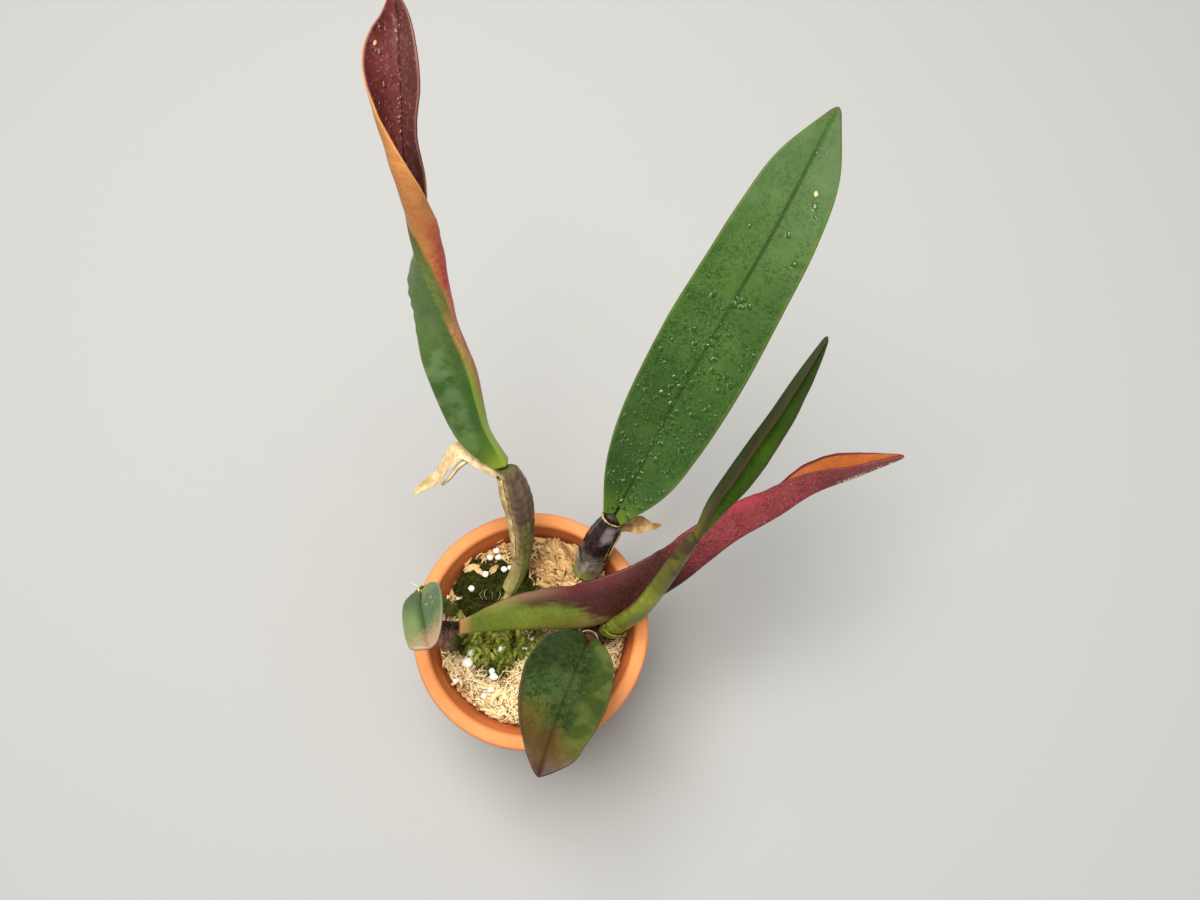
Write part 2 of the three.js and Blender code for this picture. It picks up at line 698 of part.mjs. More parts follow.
const RIBBON_1 = {
  midrib: [
    [-12.6, 61.6, 136], [-16, 63.5, 138.4], [-21.8, 67, 142], [-27.5, 67.5, 143],
    [-31.4, 63.2, 140], [-35.1, 58.3, 136], [-39.2, 56.4, 133], [-44.2, 54.6, 130],
    [-48, 52.2, 127],
  ],
  halfWidth: [2.6, 3.4, 3.2, 2.6, 3, 3.2, 2.6, 1.8, 0.6],
  roll: [20, 0, -20, -10, 20, 30, 10, -10, 0],
  fold: [10, 20, 25, 20, 20, 25, 20, 10, 10],
  curl: [20, 40, 50, 60, 60, 50, 40, 30, 10],
  thickness: [0.9, 0.75],
  stations: 15,
  across: 5,
};
const FLAG_2 = {
  midrib: [[38.6, 41.8, 113], [44, 41.8, 115.4], [50, 41.2, 117.5], [57, 41.1, 118.5]],
  halfWidth: [2.4, 3.8, 3.2, 0.6],
  roll: [0, 10, 20, 20],
  fold: [10, 15, 10, 5],
  curl: [20, 30, 20, 10],
  thickness: [0.9, 0.75],
  stations: 8,
  across: 5,
};


const CLAY = { color: 0xc9713f, roughness: 0.85 };
const DRY_MOSS = { color: 0xc9ad7a, roughness: 0.95 };
const LIVE_MOSS = { color: 0x3c4a1e, roughness: 0.9 };
const RHIZOME_GREEN = { color: 0x6d7233, roughness: 0.7 };
const BULB_BROWN = { color: 0x6b5d35, roughness: 0.45 };
const BULB_PURPLE = { color: 0x34252a, roughness: 0.3 };
const BULB_GREEN = { color: 0x5f6d3a, roughness: 0.45 };
const SHOOT_GREEN = { color: 0x8a943e, roughness: 0.4 };
const LEAF_GREEN = { color: 0x3f6b2c, roughness: 0.4 };
const LEAF_MAROON = { color: 0x7a3538, roughness: 0.4 };
const PAPER_TAN = { color: 0xd9c39a, roughness: 0.85 };
const SCALE_PURPLE = { color: 0x40262c, roughness: 0.5 };
const BRACT_GREEN = { color: 0x7c8a44, roughness: 0.55 };

const plant = new THREE.Group();

function add(name, geometry, finish) {
  geometry.computeVertexNormals();
  const mesh = new THREE.Mesh(geometry, new THREE.MeshStandardMaterial({ ...finish, metalness: 0 }));
  mesh.name = name;
  plant.add(mesh);
}

const STEMS = {
  pseudobulb_1: [BULB_1, BULB_BROWN],
  pseudobulb_2: [BULB_2, BULB_PURPLE],
  pseudobulb_4: [BULB_4, BULB_PURPLE],
  pseudobulb_5: [BULB_5, BULB_GREEN],
  pseudobulb_6: [BULB_6, BULB_GREEN],
  shoot_3: [SHOOT_3, SHOOT_GREEN],
};
const stems = Object.values(STEMS).map(([stem]) => stem);
const stemHoles = stems.map((stem) => solidOf(stemGeometry(stem, GAP)));
const creeping = [...RHIZOME.map((branch) => ({ ...RHIZOME_STEM, ...branch })), ...rootStems()];
const creepingHoles = creeping.map((stem) => solidOf(stemGeometry(stem, GAP)));
const join = (solids) => wasm.Manifold.union(solids);
const cut = (solid, tools) => solid.subtract(join(tools));

const medium = join([mediumBase(), ...dryStrands(), ...grainSolids(GRAINS_ON_MEDIUM, 5)]);
const mediumCut = cut(medium, [...stemHoles, ...creepingHoles]);

// The rhizome parts the living moss in two
const mat = join([matBase(), ...mossShoots(), ...grainSolids(GRAINS_ON_MOSS, 9)]);
const matCut = cut(mat, [medium.translate([0, 0, GAP]), ...stemHoles, ...creepingHoles]);
const middleOf = (solid) => solid.boundingBox().min[1] + solid.boundingBox().max[1];
const [mossA, mossB] = bodiesBySize(matCut);
const [mossFront, mossBack] = middleOf(mossA) < middleOf(mossB) ? [mossA, mossB] : [mossB, mossA];

const rhizome = cut(join(creeping.map((stem) => solidOf(stemGeometry(stem)))), stemHoles);

add("pot", potGeometry(), CLAY);
add("medium", geometryFrom(mediumCut, MERGE_REACH), DRY_MOSS);
add("moss_back", geometryFrom(mossBack, MERGE_REACH), LIVE_MOSS);
add("moss_front", geometryFrom(mossFront, MERGE_REACH), LIVE_MOSS);
add("rhizome", geometryFrom(rhizome, MERGE_REACH), RHIZOME_GREEN);
for (const [name, [stem, finish]] of Object.entries(STEMS)) add(name, stemGeometry(stem), finish);

const BLADES = {
  leaf_1: [LEAF_1, LEAF_MAROON],
  leaf_2: [LEAF_2, LEAF_GREEN],
  leaf_3: [LEAF_3, LEAF_GREEN],
  leaf_4: [LEAF_4, LEAF_MAROON],
  leaf_5: [LEAF_5, LEAF_GREEN],
  leaf_6: [LEAF_6, LEAF_GREEN],
  sheath_1_ribbon: [RIBBON_1, PAPER_TAN],
  sheath_2_flag: [FLAG_2, PAPER_TAN],
};
for (const [name, [blade, finish]] of Object.entries(BLADES)) {
  add(name, geometryFrom(cut(solidOf(bladeGeometry(blade)), stemHoles)), finish);
}

const SHEATHS = {
  sheath_1_strip: [SHEATH_1, PAPER_TAN],
  sheath_2_base: [SHEATH_2, BULB_GREEN],
  sheath_2_ring: [SHEATH_2_RING, PAPER_TAN],
  sheath_2_strip: [SHEATH_2_STRIP, PAPER_TAN],
  scale_3: [SCALE_3, SCALE_PURPLE],
  bract_3: [BRACT_3, BRACT_GREEN],
  sheath_5: [SHEATH_5, PAPER_TAN],
  sheath_6: [SHEATH_6, PAPER_TAN],
};
for (const [name, [sheath, finish]] of Object.entries(SHEATHS)) {
  add(name, sheathGeometry(sheath), finish);
}

const box = new THREE.Box3().setFromObject(plant);
plant.position.set(-(box.min.x + box.max.x) / 2, -(box.min.y + box.max.y) / 2, 0);
export default plant;
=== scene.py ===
import math

import bmesh
import bpy
import numpy as np
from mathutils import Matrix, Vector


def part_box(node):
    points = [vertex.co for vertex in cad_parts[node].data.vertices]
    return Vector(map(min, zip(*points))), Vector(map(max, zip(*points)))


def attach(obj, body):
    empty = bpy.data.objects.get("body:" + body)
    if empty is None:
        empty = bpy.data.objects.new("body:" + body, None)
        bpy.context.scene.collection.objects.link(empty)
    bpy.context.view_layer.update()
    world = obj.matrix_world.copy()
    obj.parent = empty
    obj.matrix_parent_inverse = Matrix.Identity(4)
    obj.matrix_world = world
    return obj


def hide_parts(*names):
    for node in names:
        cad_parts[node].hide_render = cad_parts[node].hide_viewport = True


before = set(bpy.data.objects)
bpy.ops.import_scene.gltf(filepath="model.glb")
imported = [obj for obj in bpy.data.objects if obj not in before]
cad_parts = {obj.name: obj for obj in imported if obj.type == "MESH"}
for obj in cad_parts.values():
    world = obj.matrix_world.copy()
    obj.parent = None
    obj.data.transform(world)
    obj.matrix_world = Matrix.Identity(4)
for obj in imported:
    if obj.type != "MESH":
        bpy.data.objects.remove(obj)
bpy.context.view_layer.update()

# Everything is laid out in millimetres round the pot's axis, with the pot's foot at z = 0, as in
# the part's source. to_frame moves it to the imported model's frame, in metres.
MM = 0.001
pot_low, pot_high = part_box("pot")
POT_AXIS = np.array([pot_low[0] + pot_high[0], pot_low[1] + pot_high[1], 0]) / (2 * MM)


def to_frame(points):
    return (np.asarray(points, float) + POT_AXIS) * MM


# The pot's sizes
RIM_RADIUS = 52
POT_HEIGHT = 92
FOOT_RADIUS = 34
COLLAR_HEIGHT = 22
LIP_WIDTH = 6.6
LIP_ROUND = 2.2
WALL_SLOPE = 0.208
FLOOR_THICKNESS = 9
DRAIN_RADIUS = 6
SURFACE = 80
GAP = 0.35

# Stems, widest across and then flattened
BULB_1 = {
    "path": [[-11, 18, 79], [-6.4, 25.3, 88], [-3.4, 35, 103], [-3.2, 46, 117],
             [-5.2, 55.5, 130], [-7.8, 61.5, 138]],
    "radius": [4, 3.9, 4.4, 5.5, 6.3, 4.1], "flat": 0.85,
}
BULB_2 = {
    "path": [[22.5, 23.3, 79], [25.7, 28, 93], [29, 34, 106], [33.3, 40.3, 116], [37.2, 45, 123]],
    "radius": [4.2, 5.4, 6.3, 6.1, 3.7], "flat": 0.9,
}
BULB_4 = {
    "path": [[-34.5, -5.5, 79], [-36.2, -5.2, 91], [-36.5, -4.6, 105], [-34.5, -3.3, 115],
             [-31.8, -2.9, 119], [-28.3, -3.5, 120.2]],
    "radius": [3.4, 4, 4.8, 4.6, 4, 3],
}
BULB_5 = {
    "path": [[-35.5, 9, 79], [-38, 9.5, 91], [-41.5, 10.5, 105], [-44, 11.5, 119]],
    "radius": [2.8, 3.2, 3.6, 2.8],
}
BULB_6 = {
    "path": [[22.5, -8, 79], [23.8, -7.6, 90], [25.2, -7.2, 102], [25.6, -6.6, 110]],
    "radius": [3.2, 4, 4, 3],
}
SHOOT_3 = {
    "path": [[29, -1.5, 81], [34.5, -1, 94], [41.5, 1.8, 110], [48.5, 6.5, 122],
             [55.2, 14.2, 135], [62, 23, 147], [67.6, 30.2, 157.2]],
    "radius": [4.2, 4.6, 4.4, 3.9, 3.5, 2.8], "flat": 0.72,
}

# Leaves, with their fold, curl and roll in degrees. curl holds for both halves.
LEAF_1 = {
    "midrib": [[-8.6, 61.8, 139.5], [-16.6, 73, 154], [-21, 90, 177], [-26.5, 103, 198],
               [-31.2, 114, 213], [-34, 125, 227], [-34, 135, 239], [-33.4, 144.5, 248],
               [-32.6, 154, 257], [-32.4, 163, 264], [-32.4, 174, 269], [-34.5, 183, 272]],
    "right": [4.6, 12, 15.2, 15, 13.6, 7.4, 10.4, 10.5, 1],
    "left": [5.4, 11.6, 12.5, 14, 14, 14, 15, 15, 1],
    "roll": [191, 209, 203, 180, 136, 72, -18, -19, -20],
    "fold": [34, 30, 29, 39, 16, 0, 18, 21, 27],
    "curl_right": [10, 20, 15, 15, 30, 120, 35, 20, 10],
    "curl_left": [20, 35, 50, 80, 160, 200, 172, 80, 40],
    "thick": [2.6, 0.9],
    "ripple": {"hand": 1, "at": 0.45, "reach": 0.07, "height": 0.03, "pace": 230},
}
LEAF_2 = {
    "midrib": [[37.1, 44.9, 122.6], [47.5, 60.5, 141], [56, 75, 156], [72.5, 99, 184],
               [93, 130, 212], [114.5, 169, 230]],
    "right": [7, 15.6, 19.4, 20.4, 19.8, 18.2, 16.4, 12.4, 1.2],
    "left": [6, 14.3, 17.6, 18.8, 19, 17.8, 16.2, 12.2, 1.2],
    "roll": [0, 0],
    "fold": [40, 18, 10, 8, 8, 8, 8, 8, 8],
    "curl": [10, 6, 4, 4, 4, 4, 4, 4, 4],
    "thick": [2.6, 1],
}
LEAF_3 = {
    "midrib": [[67.5, 30, 157], [72.4, 40.3, 169], [78.5, 48.5, 183], [84.2, 55.4, 198],
               [90, 62, 214], [95.5, 69, 231], [101.2, 75.6, 248]],
    "right": [2.4, 6.2, 8.4, 9.1, 8.6, 7.5, 6, 4, 0.8],
    "left": [4.6, 6.9, 8.4, 9.1, 8.6, 7.5, 6, 4, 0.8],
    "roll": [55, 55],
    "fold": [60, 56, 56, 56, 56, 56, 56, 58, 60],
    "curl": [5, 5],
    "thick": [1.9, 0.9],
}
LEAF_4 = {
    "midrib": [[-27.5, -3.7, 120.5], [-13, -1.6, 115], [5, -0.3, 110], [24, 0.6, 105],
               [43.5, 7.2, 104], [63, 17.8, 108], [75.4, 26.8, 114], [87.7, 35.6, 120],
               [104, 44, 129], [118.3, 52.4, 136], [135.2, 57.6, 144], [152, 62.7, 152]],
    "right": [5.5, 14.6, 18.8, 18, 16.4, 14.6, 12.2, 9.2, 1],
    "left": [4, 12.5, 17, 16, 13.5, 10, 10, 10.8, 1],
    "roll": [-84, -86, -84, -84, -84, -84, -76, -48, -42],
    "fold": [50, 58, 62, 62, 62, 62, 60, 62, 62],
    "curl": [15, 20, 20, 20, 20, 20, 15, 5, 5],
    "thick": [2.4, 0.9],
}
LEAF_5 = {
    "midrib": [[-44, 12, 118.8], [-41.5, 5.6, 132], [-38.3, -3.1, 140], [-35.2, -12.5, 146]],
    "right": [1.5, 4.6, 6.8, 8, 8.4, 8.2, 7],
    "left": [4.2, 9, 10, 9.8, 8.6, 6.4, 3],
    "roll": [-8, -8],
    "fold": [45, 20, 10, 8, 8],
    "curl_right": [10, 5, 0, -10, -20],
    "curl_left": [10, 20, 30, 30, 20],
    "thick": [2.2, 1.1],
}
LEAF_6 = {
    "midrib": [[25.5, -7, 111.3], [19.5, -23, 124], [14.5, -37, 134.5], [10.5, -49.5, 143.5],
               [7.7, -59.5, 148]],
    "right": [6, 16.5, 19.3, 20.2, 19, 16.8, 13.3, 8, 1.5],
    "left": [5, 12.8, 16, 17, 17.1, 16, 14, 11.3, 1.5],
    "roll": [0, 0],
    "fold": [40, 16, 10, 8, 8, 8, 8],
    "curl": [10, 6, 4, 4, 4, 4, 4],
    "thick": [2.4, 1],
}


# Curves and surfaces
LUMP_WAVES = 8


def smooth_run(values, t):
    """Where a smooth curve through evenly spread values, numbers or points, is at t from 0 to 1."""
    values = np.asarray(values, float)
    ends = np.concatenate([[2 * values[0] - values[1]], values, [2 * values[-1] - values[-2]]])
    last = len(values) - 1
    place = np.asarray(t, float) * last
    i = np.minimum(place.astype(int), last - 1)
    f = place - i
    if values.ndim > 1:
        f = f[..., None]
    a, b, c, d = ends[i], ends[i + 1], ends[i + 2], ends[i + 3]
    return b + 0.5 * f * (c - a + f * (2 * a - 5 * b + 4 * c - d + f * (3 * (b - c) + d - a)))


def unit(vectors):
    return vectors / np.linalg.norm(vectors, axis=-1, keepdims=True)


class Path:
    """A smooth curve through points, walked at an even pace."""

    def __init__(self, points):
        self.points = np.asarray(points, float)
        self.fine = np.linspace(0, 1, 401)
        places = smooth_run(self.points, self.fine)
        walked = np.concatenate([[0], np.cumsum(np.linalg.norm(np.diff(places, axis=0), axis=1))])
        self.length = walked[-1]
        self.shares = walked / self.length

    def at(self, t):
        return smooth_run(self.points, np.interp(t, self.shares, self.fine))

    def along(self, t):
        step = 0.002
        return unit(self.at(np.clip(t + step, 0, 1)) - self.at(np.clip(t - step, 0, 1)))


def square_to(along, wanted):
    wanted = np.asarray(wanted, float)
    return unit(wanted - along * (along @ wanted)[..., None])


def lumps(places, size, seed):
    """Smooth seeded unevenness of about -1 to 1, with lumps of about the given size."""
    draw = np.random.default_rng(seed)
    total = 0
    for _ in range(LUMP_WAVES):
        heading = unit(draw.normal(size=np.shape(places)[-1]))
        pitch = size * draw.uniform(0.7, 1.5)
        total = total + np.sin(places @ heading * 2 * math.pi / pitch + draw.uniform(0, 6.3))
    return total / math.sqrt(LUMP_WAVES)


def dome(distance, radius):
    """1 away from an edge, falling on a round to nearly 0 at the edge itself."""
    near = 1 - np.clip(np.asarray(distance, float) / radius, 0, 1)
    return np.sqrt(np.maximum(1 - near * near, 0.0016))


class Shape:
    """Points and faces gathered for one piece, with marks that its finish reads."""

    def __init__(self, *marks):
        self.points = []
        self.faces = []
        self.finish_of_face = []
        self.marks = {mark: [] for mark in marks}
        self.count = 0

    def add(self, points, faces, finish=0, **marks):
        points = np.asarray(points, float).reshape(-1, 3)
        self.points.append(points)
        self.faces += [[corner + self.count for corner in face] for face in faces]
        self.finish_of_face += [finish] * len(faces)
        for mark, gathered in self.marks.items():
            gathered.append(np.broadcast_to(marks.get(mark, 0.0), len(points)).astype(float))
        self.count += len(points)

    def piece(self, name, finishes, nodes=()):
        mesh = bpy.data.meshes.new(name)
        mesh.from_pydata(to_frame(np.concatenate(self.points)).tolist(), [], self.faces)
        for mark, gathered in self.marks.items():
            attribute = mesh.attributes.new(mark, "FLOAT", "POINT")
            attribute.data.foreach_set("value", np.concatenate(gathered))
        for finish in finishes:
            mesh.materials.append(finish.material)
        mesh.polygons.foreach_set("material_index", self.finish_of_face)
        mesh.polygons.foreach_set("use_smooth", [True] * len(mesh.polygons))
        mesh.update()
        made = bpy.data.objects.new(name, mesh)
        bpy.context.scene.collection.objects.link(made)
        if nodes:
            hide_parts(*nodes)
        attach(made, "root")


def skin_faces(stations, around):
    """Quads between rings of points, with a cap on the first and the last ring."""
    k = np.arange(around)
    step = (k + 1) % around
    faces = []
    for first in range(0, (stations - 1) * around, around):
        quad = [first + k, first + step, first + around + step, first + around + k]
        faces += np.stack(quad, axis=1).tolist()
    last = (stations - 1) * around
    return faces + [list(range(around))[::-1], [last + corner for corner in range(around)]]


# Leaf blades: where their points lie across each half, how the fold eases in at the midrib, the
# rounding of the tip, the sizes of the surface's waves, and the groove and keel of the midrib
HALF_SHARES = np.array([0, 0.02, 0.045, 0.08, 0.13, 0.19, 0.26, 0.34, 0.43, 0.52, 0.61, 0.7,
                        0.78, 0.85, 0.905, 0.95, 0.98, 1])
FOLD_EASE = 0.06
FOLD_ROOM = 0.6
NARROW_SHARE = 0.16
TIP_ROUND = 2.2
BROAD_WAVE = 15
FINE_WAVE = 6
GROOVE_DEEP, GROOVE_WIDE = 0.4, 0.6
KEEL_DEEP, KEEL_WIDE = 0.5, 1.2


class Blade:
    """A leaf's upper and lower skin as grids of points, along the leaf and across it."""

    def __init__(self, leaf, stations, wave, seed):
        path = Path(leaf["midrib"])
        length = path.length
        tip = np.array([0.6, 0.35, 0.15, 0.03, 0]) * TIP_ROUND / length
        t = np.concatenate([np.linspace(0, 1 - TIP_ROUND / length, stations), 1 - tip])
        along = path.along(t)
        up = square_to(along, [0, 0, 1])
        side = np.cross(along, up)
        roll = np.radians(smooth_run(leaf["roll"], t))[:, None]
        face = up * np.cos(roll) + side * np.sin(roll)
        right = side * np.cos(roll) - up * np.sin(roll)
        tip_dome = dome((1 - t) * length, TIP_ROUND)
        widths = {1: smooth_run(leaf["right"], t), -1: smooth_run(leaf["left"], t)}
        midrib, margin = leaf["thick"]
        middle = np.minimum(midrib, margin + NARROW_SHARE * np.minimum(widths[1], widths[-1]))
        fold = np.radians(smooth_run(leaf["fold"], t))[:, None]
        skins = {}
        for hand, bend in ((-1, "curl_left"), (1, "curl_right")):
            width = widths[hand] * tip_dome
            if "ripple" in leaf and leaf["ripple"]["hand"] == hand:
                ripple = leaf["ripple"]
                near = np.exp(-(((t - ripple["at"]) / ripple["reach"]) ** 2))
                width = width * (1 + ripple["height"] * near * np.sin(ripple["pace"] * t))
            curl = np.radians(smooth_run(leaf["curl"] if "curl" in leaf else leaf[bend], t))[:, None]
            slope = (fold + curl * HALF_SHARES) * np.minimum(1, HALF_SHARES / FOLD_EASE)
            middle_slope = 0.5 * (slope[:, 1:] + slope[:, :-1])
            step = width[:, None] * np.diff(HALF_SHARES)
            nothing = np.zeros((len(t), 1))
            out = np.hstack([nothing, np.cumsum(step * np.cos(middle_slope), axis=1)])
            rise = np.hstack([nothing, np.cumsum(step * np.sin(middle_slope), axis=1)])
            reach = width[:, None] * HALF_SHARES
            half = 0.5 * (margin + (middle[:, None] - margin) * (1 - HALF_SHARES**2))
            half = half * dome(width[:, None] - reach, 0.55 * margin) * tip_dome[:, None] ** 0.5
            shift = half * np.sin(slope)
            inward = np.where(slope < math.pi / 2, np.minimum(shift, FOLD_ROOM * out), shift)
            flow = np.stack([hand * reach, np.broadcast_to(t[:, None] * length, reach.shape)], -1)
            ease = np.minimum(1, reach / 4) * tip_dome[:, None]
            rise = rise + wave * lumps(flow, BROAD_WAVE, seed) * ease
            rise = rise + 0.4 * wave * lumps(flow, FINE_WAVE, seed + 1) * ease
            groove = GROOVE_DEEP * np.exp(-((reach / GROOVE_WIDE) ** 2)) * tip_dome[:, None]
            keel = KEEL_DEEP * np.exp(-((reach / KEEL_WIDE) ** 2)) * tip_dome[:, None]
            level = half * np.cos(slope)
            centre = path.at(t)
            skins[hand] = [
                centre[:, None]
                + right[:, None] * (hand * (out - inward))[..., None]
                + face[:, None] * (rise + level - groove)[..., None],
                centre[:, None]
                + right[:, None] * (hand * (out + shift))[..., None]
                + face[:, None] * (rise - level - keel)[..., None],
            ]
        self.upper = np.concatenate([skins[-1][0][:, :0:-1], skins[1][0]], axis=1)
        self.lower = np.concatenate([skins[-1][1][:, :0:-1], skins[1][1]], axis=1)
        self.t = t
        self.length = length
        self.reach = np.concatenate([-HALF_SHARES[:0:-1], HALF_SHARES])
        self.width = np.where(self.reach[None] < 0, widths[-1][:, None], widths[1][:, None])

    def marks(self, rows, columns, skin):
        reach = self.reach[columns]
        return {
            "run": self.t[rows],
            "reach": reach,
            "out": reach * self.width[rows, columns],
            "along": self.t[rows] * self.length,
            "skin": skin,
        }

    def fill(self, shape):
        across = len(self.reach)
        inner = np.arange(across - 2, 0, -1)
        rings = np.concatenate([self.upper, self.lower[:, inner]], axis=1)
        columns = np.concatenate([np.arange(across), inner])
        skin = np.concatenate([np.ones(across), -np.ones(len(inner))])
        skin[[0, across - 1]] = 0
        rows = np.repeat(np.arange(len(self.t)), len(columns))
        marks = self.marks(rows, np.tile(columns, len(self.t)), np.tile(skin, len(self.t)))
        shape.add(rings, skin_faces(len(self.t), len(columns)), **marks)

    def spot(self, row, column, skin):
        """A place on the leaf, with the way out of it and the way along it."""
        grid = self.upper if skin > 0 else self.lower
        place = grid[row, column]
        along = unit(grid[row + 1, column] - grid[row - 1, column])
        across = grid[row, column + 1] - grid[row, column - 1]
        out = unit(np.cross(across, along)) * skin
        return place, out, along


LEAF_MARKS = ("run", "reach", "out", "along", "skin", "lit")

# The rings of a water drop, each at its share of the drop's radius and of its height
DROP_LEVELS = ((1, -0.25), (1.02, 0.05), (0.9, 0.5), (0.55, 0.86))
DROP_AROUND = 9
SMALLEST_DROP = 0.25


def add_drops(shape, blade, count, skin, seed, likely, largest):
    """Water drops beaded on one skin. likely gives the chance of one at a run and a reach."""
    draw = np.random.default_rng(seed)
    angles = np.arange(DROP_AROUND) * 2 * math.pi / DROP_AROUND
    made = 0
    while made < count:
        row = int(draw.integers(3, len(blade.t) - 6))
        column = int(draw.integers(4, len(blade.reach) - 4))
        chance = likely(blade.t[row], blade.reach[column]) * abs(blade.width[row, column]) / 20
        if draw.uniform() > chance:
            continue
        place, out, along = blade.spot(row, column, skin)
        across = np.cross(out, along)
        radius = SMALLEST_DROP + (largest - SMALLEST_DROP) * draw.uniform() ** 2.2
        high = radius * draw.uniform(0.25, 0.4)
        slip = along * draw.uniform(-0.4, 0.4) + across * draw.uniform(-0.4, 0.4)
        uneven = 1 + 0.22 * np.sin(2 * angles + draw.uniform(0, 6.3))
        uneven = uneven + 0.14 * np.sin(3 * angles + draw.uniform(0, 6.3))
        # A painted highlight: a crescent on one side of the drop takes the highlight colour.
        crescent = np.clip(np.cos(angles - draw.normal(2.2, 0.7)), 0, 1)
        lit = [*(0.5 * crescent), *crescent, *(0.9 * crescent), *(0.2 * crescent), 0]
        ring = np.outer(np.cos(angles) * uneven, along) + np.outer(np.sin(angles) * uneven, across)
        points = [place + slip + ring * radius * wide + out * high * level
                  for wide, level in DROP_LEVELS]
        points.append((place + slip + out * high)[None])
        faces = skin_faces(len(DROP_LEVELS), DROP_AROUND)[:-1]
        top = (len(DROP_LEVELS) - 1) * DROP_AROUND
        faces += [[top + k, top + (k + 1) % DROP_AROUND, top + DROP_AROUND]
                  for k in range(DROP_AROUND)]
        marks = blade.marks(row, column, skin)
        shape.add(np.concatenate(points), faces, finish=1, lit=lit, **marks)
        made += 1


# Stems, sheaths and strands
STEM_ROUND = 2.2
SHEATH_STATIONS = 26
SHEATH_AROUND = 72
PAPER_THICK = 0.34
PAPER_CREASE = 0.12
FLAKE_STATIONS = 9
FLAKE_ACROSS = 6
FLAKE_THICK = 0.24


def stem_points(stem, t, angles, lift=0.0, rib=1.0):
    """Points round a stem. t, angles, lift and rib are grids that match each other."""
    path = Path(stem["path"])
    along = path.along(t)
    broad = square_to(along, stem.get("broad", [1, 0, 0]))
    wide = smooth_run(stem["radius"], t)
    deep = wide * stem.get("flat", 1)
    point = path.at(t) + broad * ((wide * rib + lift) * np.cos(angles))[..., None]
    return point + np.cross(along, broad) * ((deep * rib + lift) * np.sin(angles))[..., None]


def add_stem(shape, stem, stations, around, relief=None, finish=0, **marks):
    """A stem with closed, rounded ends. relief gives the rib factor at t and an angle."""
    length = Path(stem["path"]).length
    t = np.linspace(0, 1, stations)[:, None] * np.ones(around)
    angles = np.arange(around) * 2 * math.pi / around * np.ones((stations, 1))
    rib = relief(t, angles, length) if relief else 1.0
    ends = dome(np.minimum(t, 1 - t) * length, STEM_ROUND)
    points = stem_points(stem, t, angles, rib=rib * (0.35 + 0.65 * ends))
    shape.add(points, skin_faces(stations, around), finish, run=t.ravel(),
              turn=angles.ravel() / (2 * math.pi), **marks)


def add_sheath(shape, stem, reach, turns, flare, torn, seed):
    """A papery sheath round part of a stem, torn and ragged along its far edge."""
    draw = np.random.default_rng(seed)
    share = np.linspace(0, 1, SHEATH_STATIONS)[:, None]
    part = np.linspace(0, 1, SHEATH_AROUND)
    teeth = np.interp(part * 14, np.arange(15), draw.uniform(0, 1, 15))
    teeth = 0.65 * teeth + 0.35 * np.interp(part * 37, np.arange(38), draw.uniform(0, 1, 38))
    t = reach[0] + (reach[1] - reach[0]) * share - share * torn * teeth
    turn = np.radians(turns[0] + (turns[1] - turns[0]) * part) * np.ones_like(t)
    flow = np.stack([turn * 5, t * Path(stem["path"]).length], axis=-1)
    creases = PAPER_CREASE * (1 + lumps(flow * [1, 0.25], 2.2, seed))
    lift = GAP + smooth_run(flare, share) + creases
    outer = stem_points(stem, t, turn, lift + PAPER_THICK)
    inner = stem_points(stem, t, turn, lift)
    rings = np.concatenate([outer, inner[:, ::-1]], axis=1)
    shape.add(rings, skin_faces(SHEATH_STATIONS, 2 * SHEATH_AROUND),
              run=np.repeat(share, 2 * SHEATH_AROUND))


def add_strand(shape, path, widths, thick, twist, tone):
    """A flat strand through a few points: thin, and turned by twist on its way."""
    along = unit(np.gradient(path, axis=0))
    flat = unit(np.cross(along, [0.01, 0.02, 1]))
    stand = np.cross(flat, along)
    turn = twist[:, None]
    broad = flat * np.cos(turn) + stand * np.sin(turn)
    narrow = stand * np.cos(turn) - flat * np.sin(turn)
    wide = widths[:, None] / 2
    rings = np.stack([path + broad * wide, path - narrow * thick / 2, path - broad * wide,
                      path + narrow * thick / 2], axis=1)
    shape.add(rings, skin_faces(len(path), 4), tone=tone)


def add_even_strand(shape, path, count, widths, thick, twist, tone):
    """A strand on a smooth path, from its first width to its last, evenly turned."""
    add_strand(shape, Path(path).at(np.linspace(0, 1, count)), np.linspace(*widths, count),
               thick, np.linspace(0, twist, count), tone)


def add_flake(shape, draw, centre, heading, size, hump, tone, tilt):
    """A crumpled, ragged scrap of dry moss. size is its length and width."""
    long, wide = size
    u, v = np.meshgrid(np.linspace(-0.5, 0.5, FLAKE_STATIONS),
                       np.linspace(-0.5, 0.5, FLAKE_ACROSS), indexing="ij")
    knots = np.linspace(-0.5, 0.5, 6)
    ragged = np.interp(u, knots, draw.uniform(0.6, 1.15, 6)) * (1 - 1.6 * u**2)
    frayed = 1 + np.interp(v, knots, draw.uniform(-0.22, 0.1, 6))
    bend = draw.normal(0, 0.5)
    turn = heading + bend * u
    x = centre[0] + long * u * frayed * np.cos(turn) - wide * v * ragged * np.sin(turn)
    y = centre[1] + long * u * frayed * np.sin(turn) + wide * v * ragged * np.cos(turn)
    flow = np.stack([long * u, wide * v], axis=-1) + draw.uniform(-99, 99, 2)
    z = centre[2] + hump * (1 - 4 * u**2) + tilt * wide * v + draw.normal(0, 0.5) * wide * v**2
    z = z + 0.42 * lumps(flow, 3.4, int(draw.integers(999))) + 0.2 * lumps(flow, 1.5, 5)
    top = np.stack([x, y, z], axis=-1)
    under = top - [0, 0, FLAKE_THICK]
    rings = np.concatenate([top, under[:, ::-1]], axis=1)
    across = wide * np.concatenate([v, v[:, ::-1]], axis=1) + draw.uniform(9, 99)
    faces = skin_faces(FLAKE_STATIONS, 2 * FLAKE_ACROSS)
    shape.add(rings, faces, tone=tone, across=across.ravel())


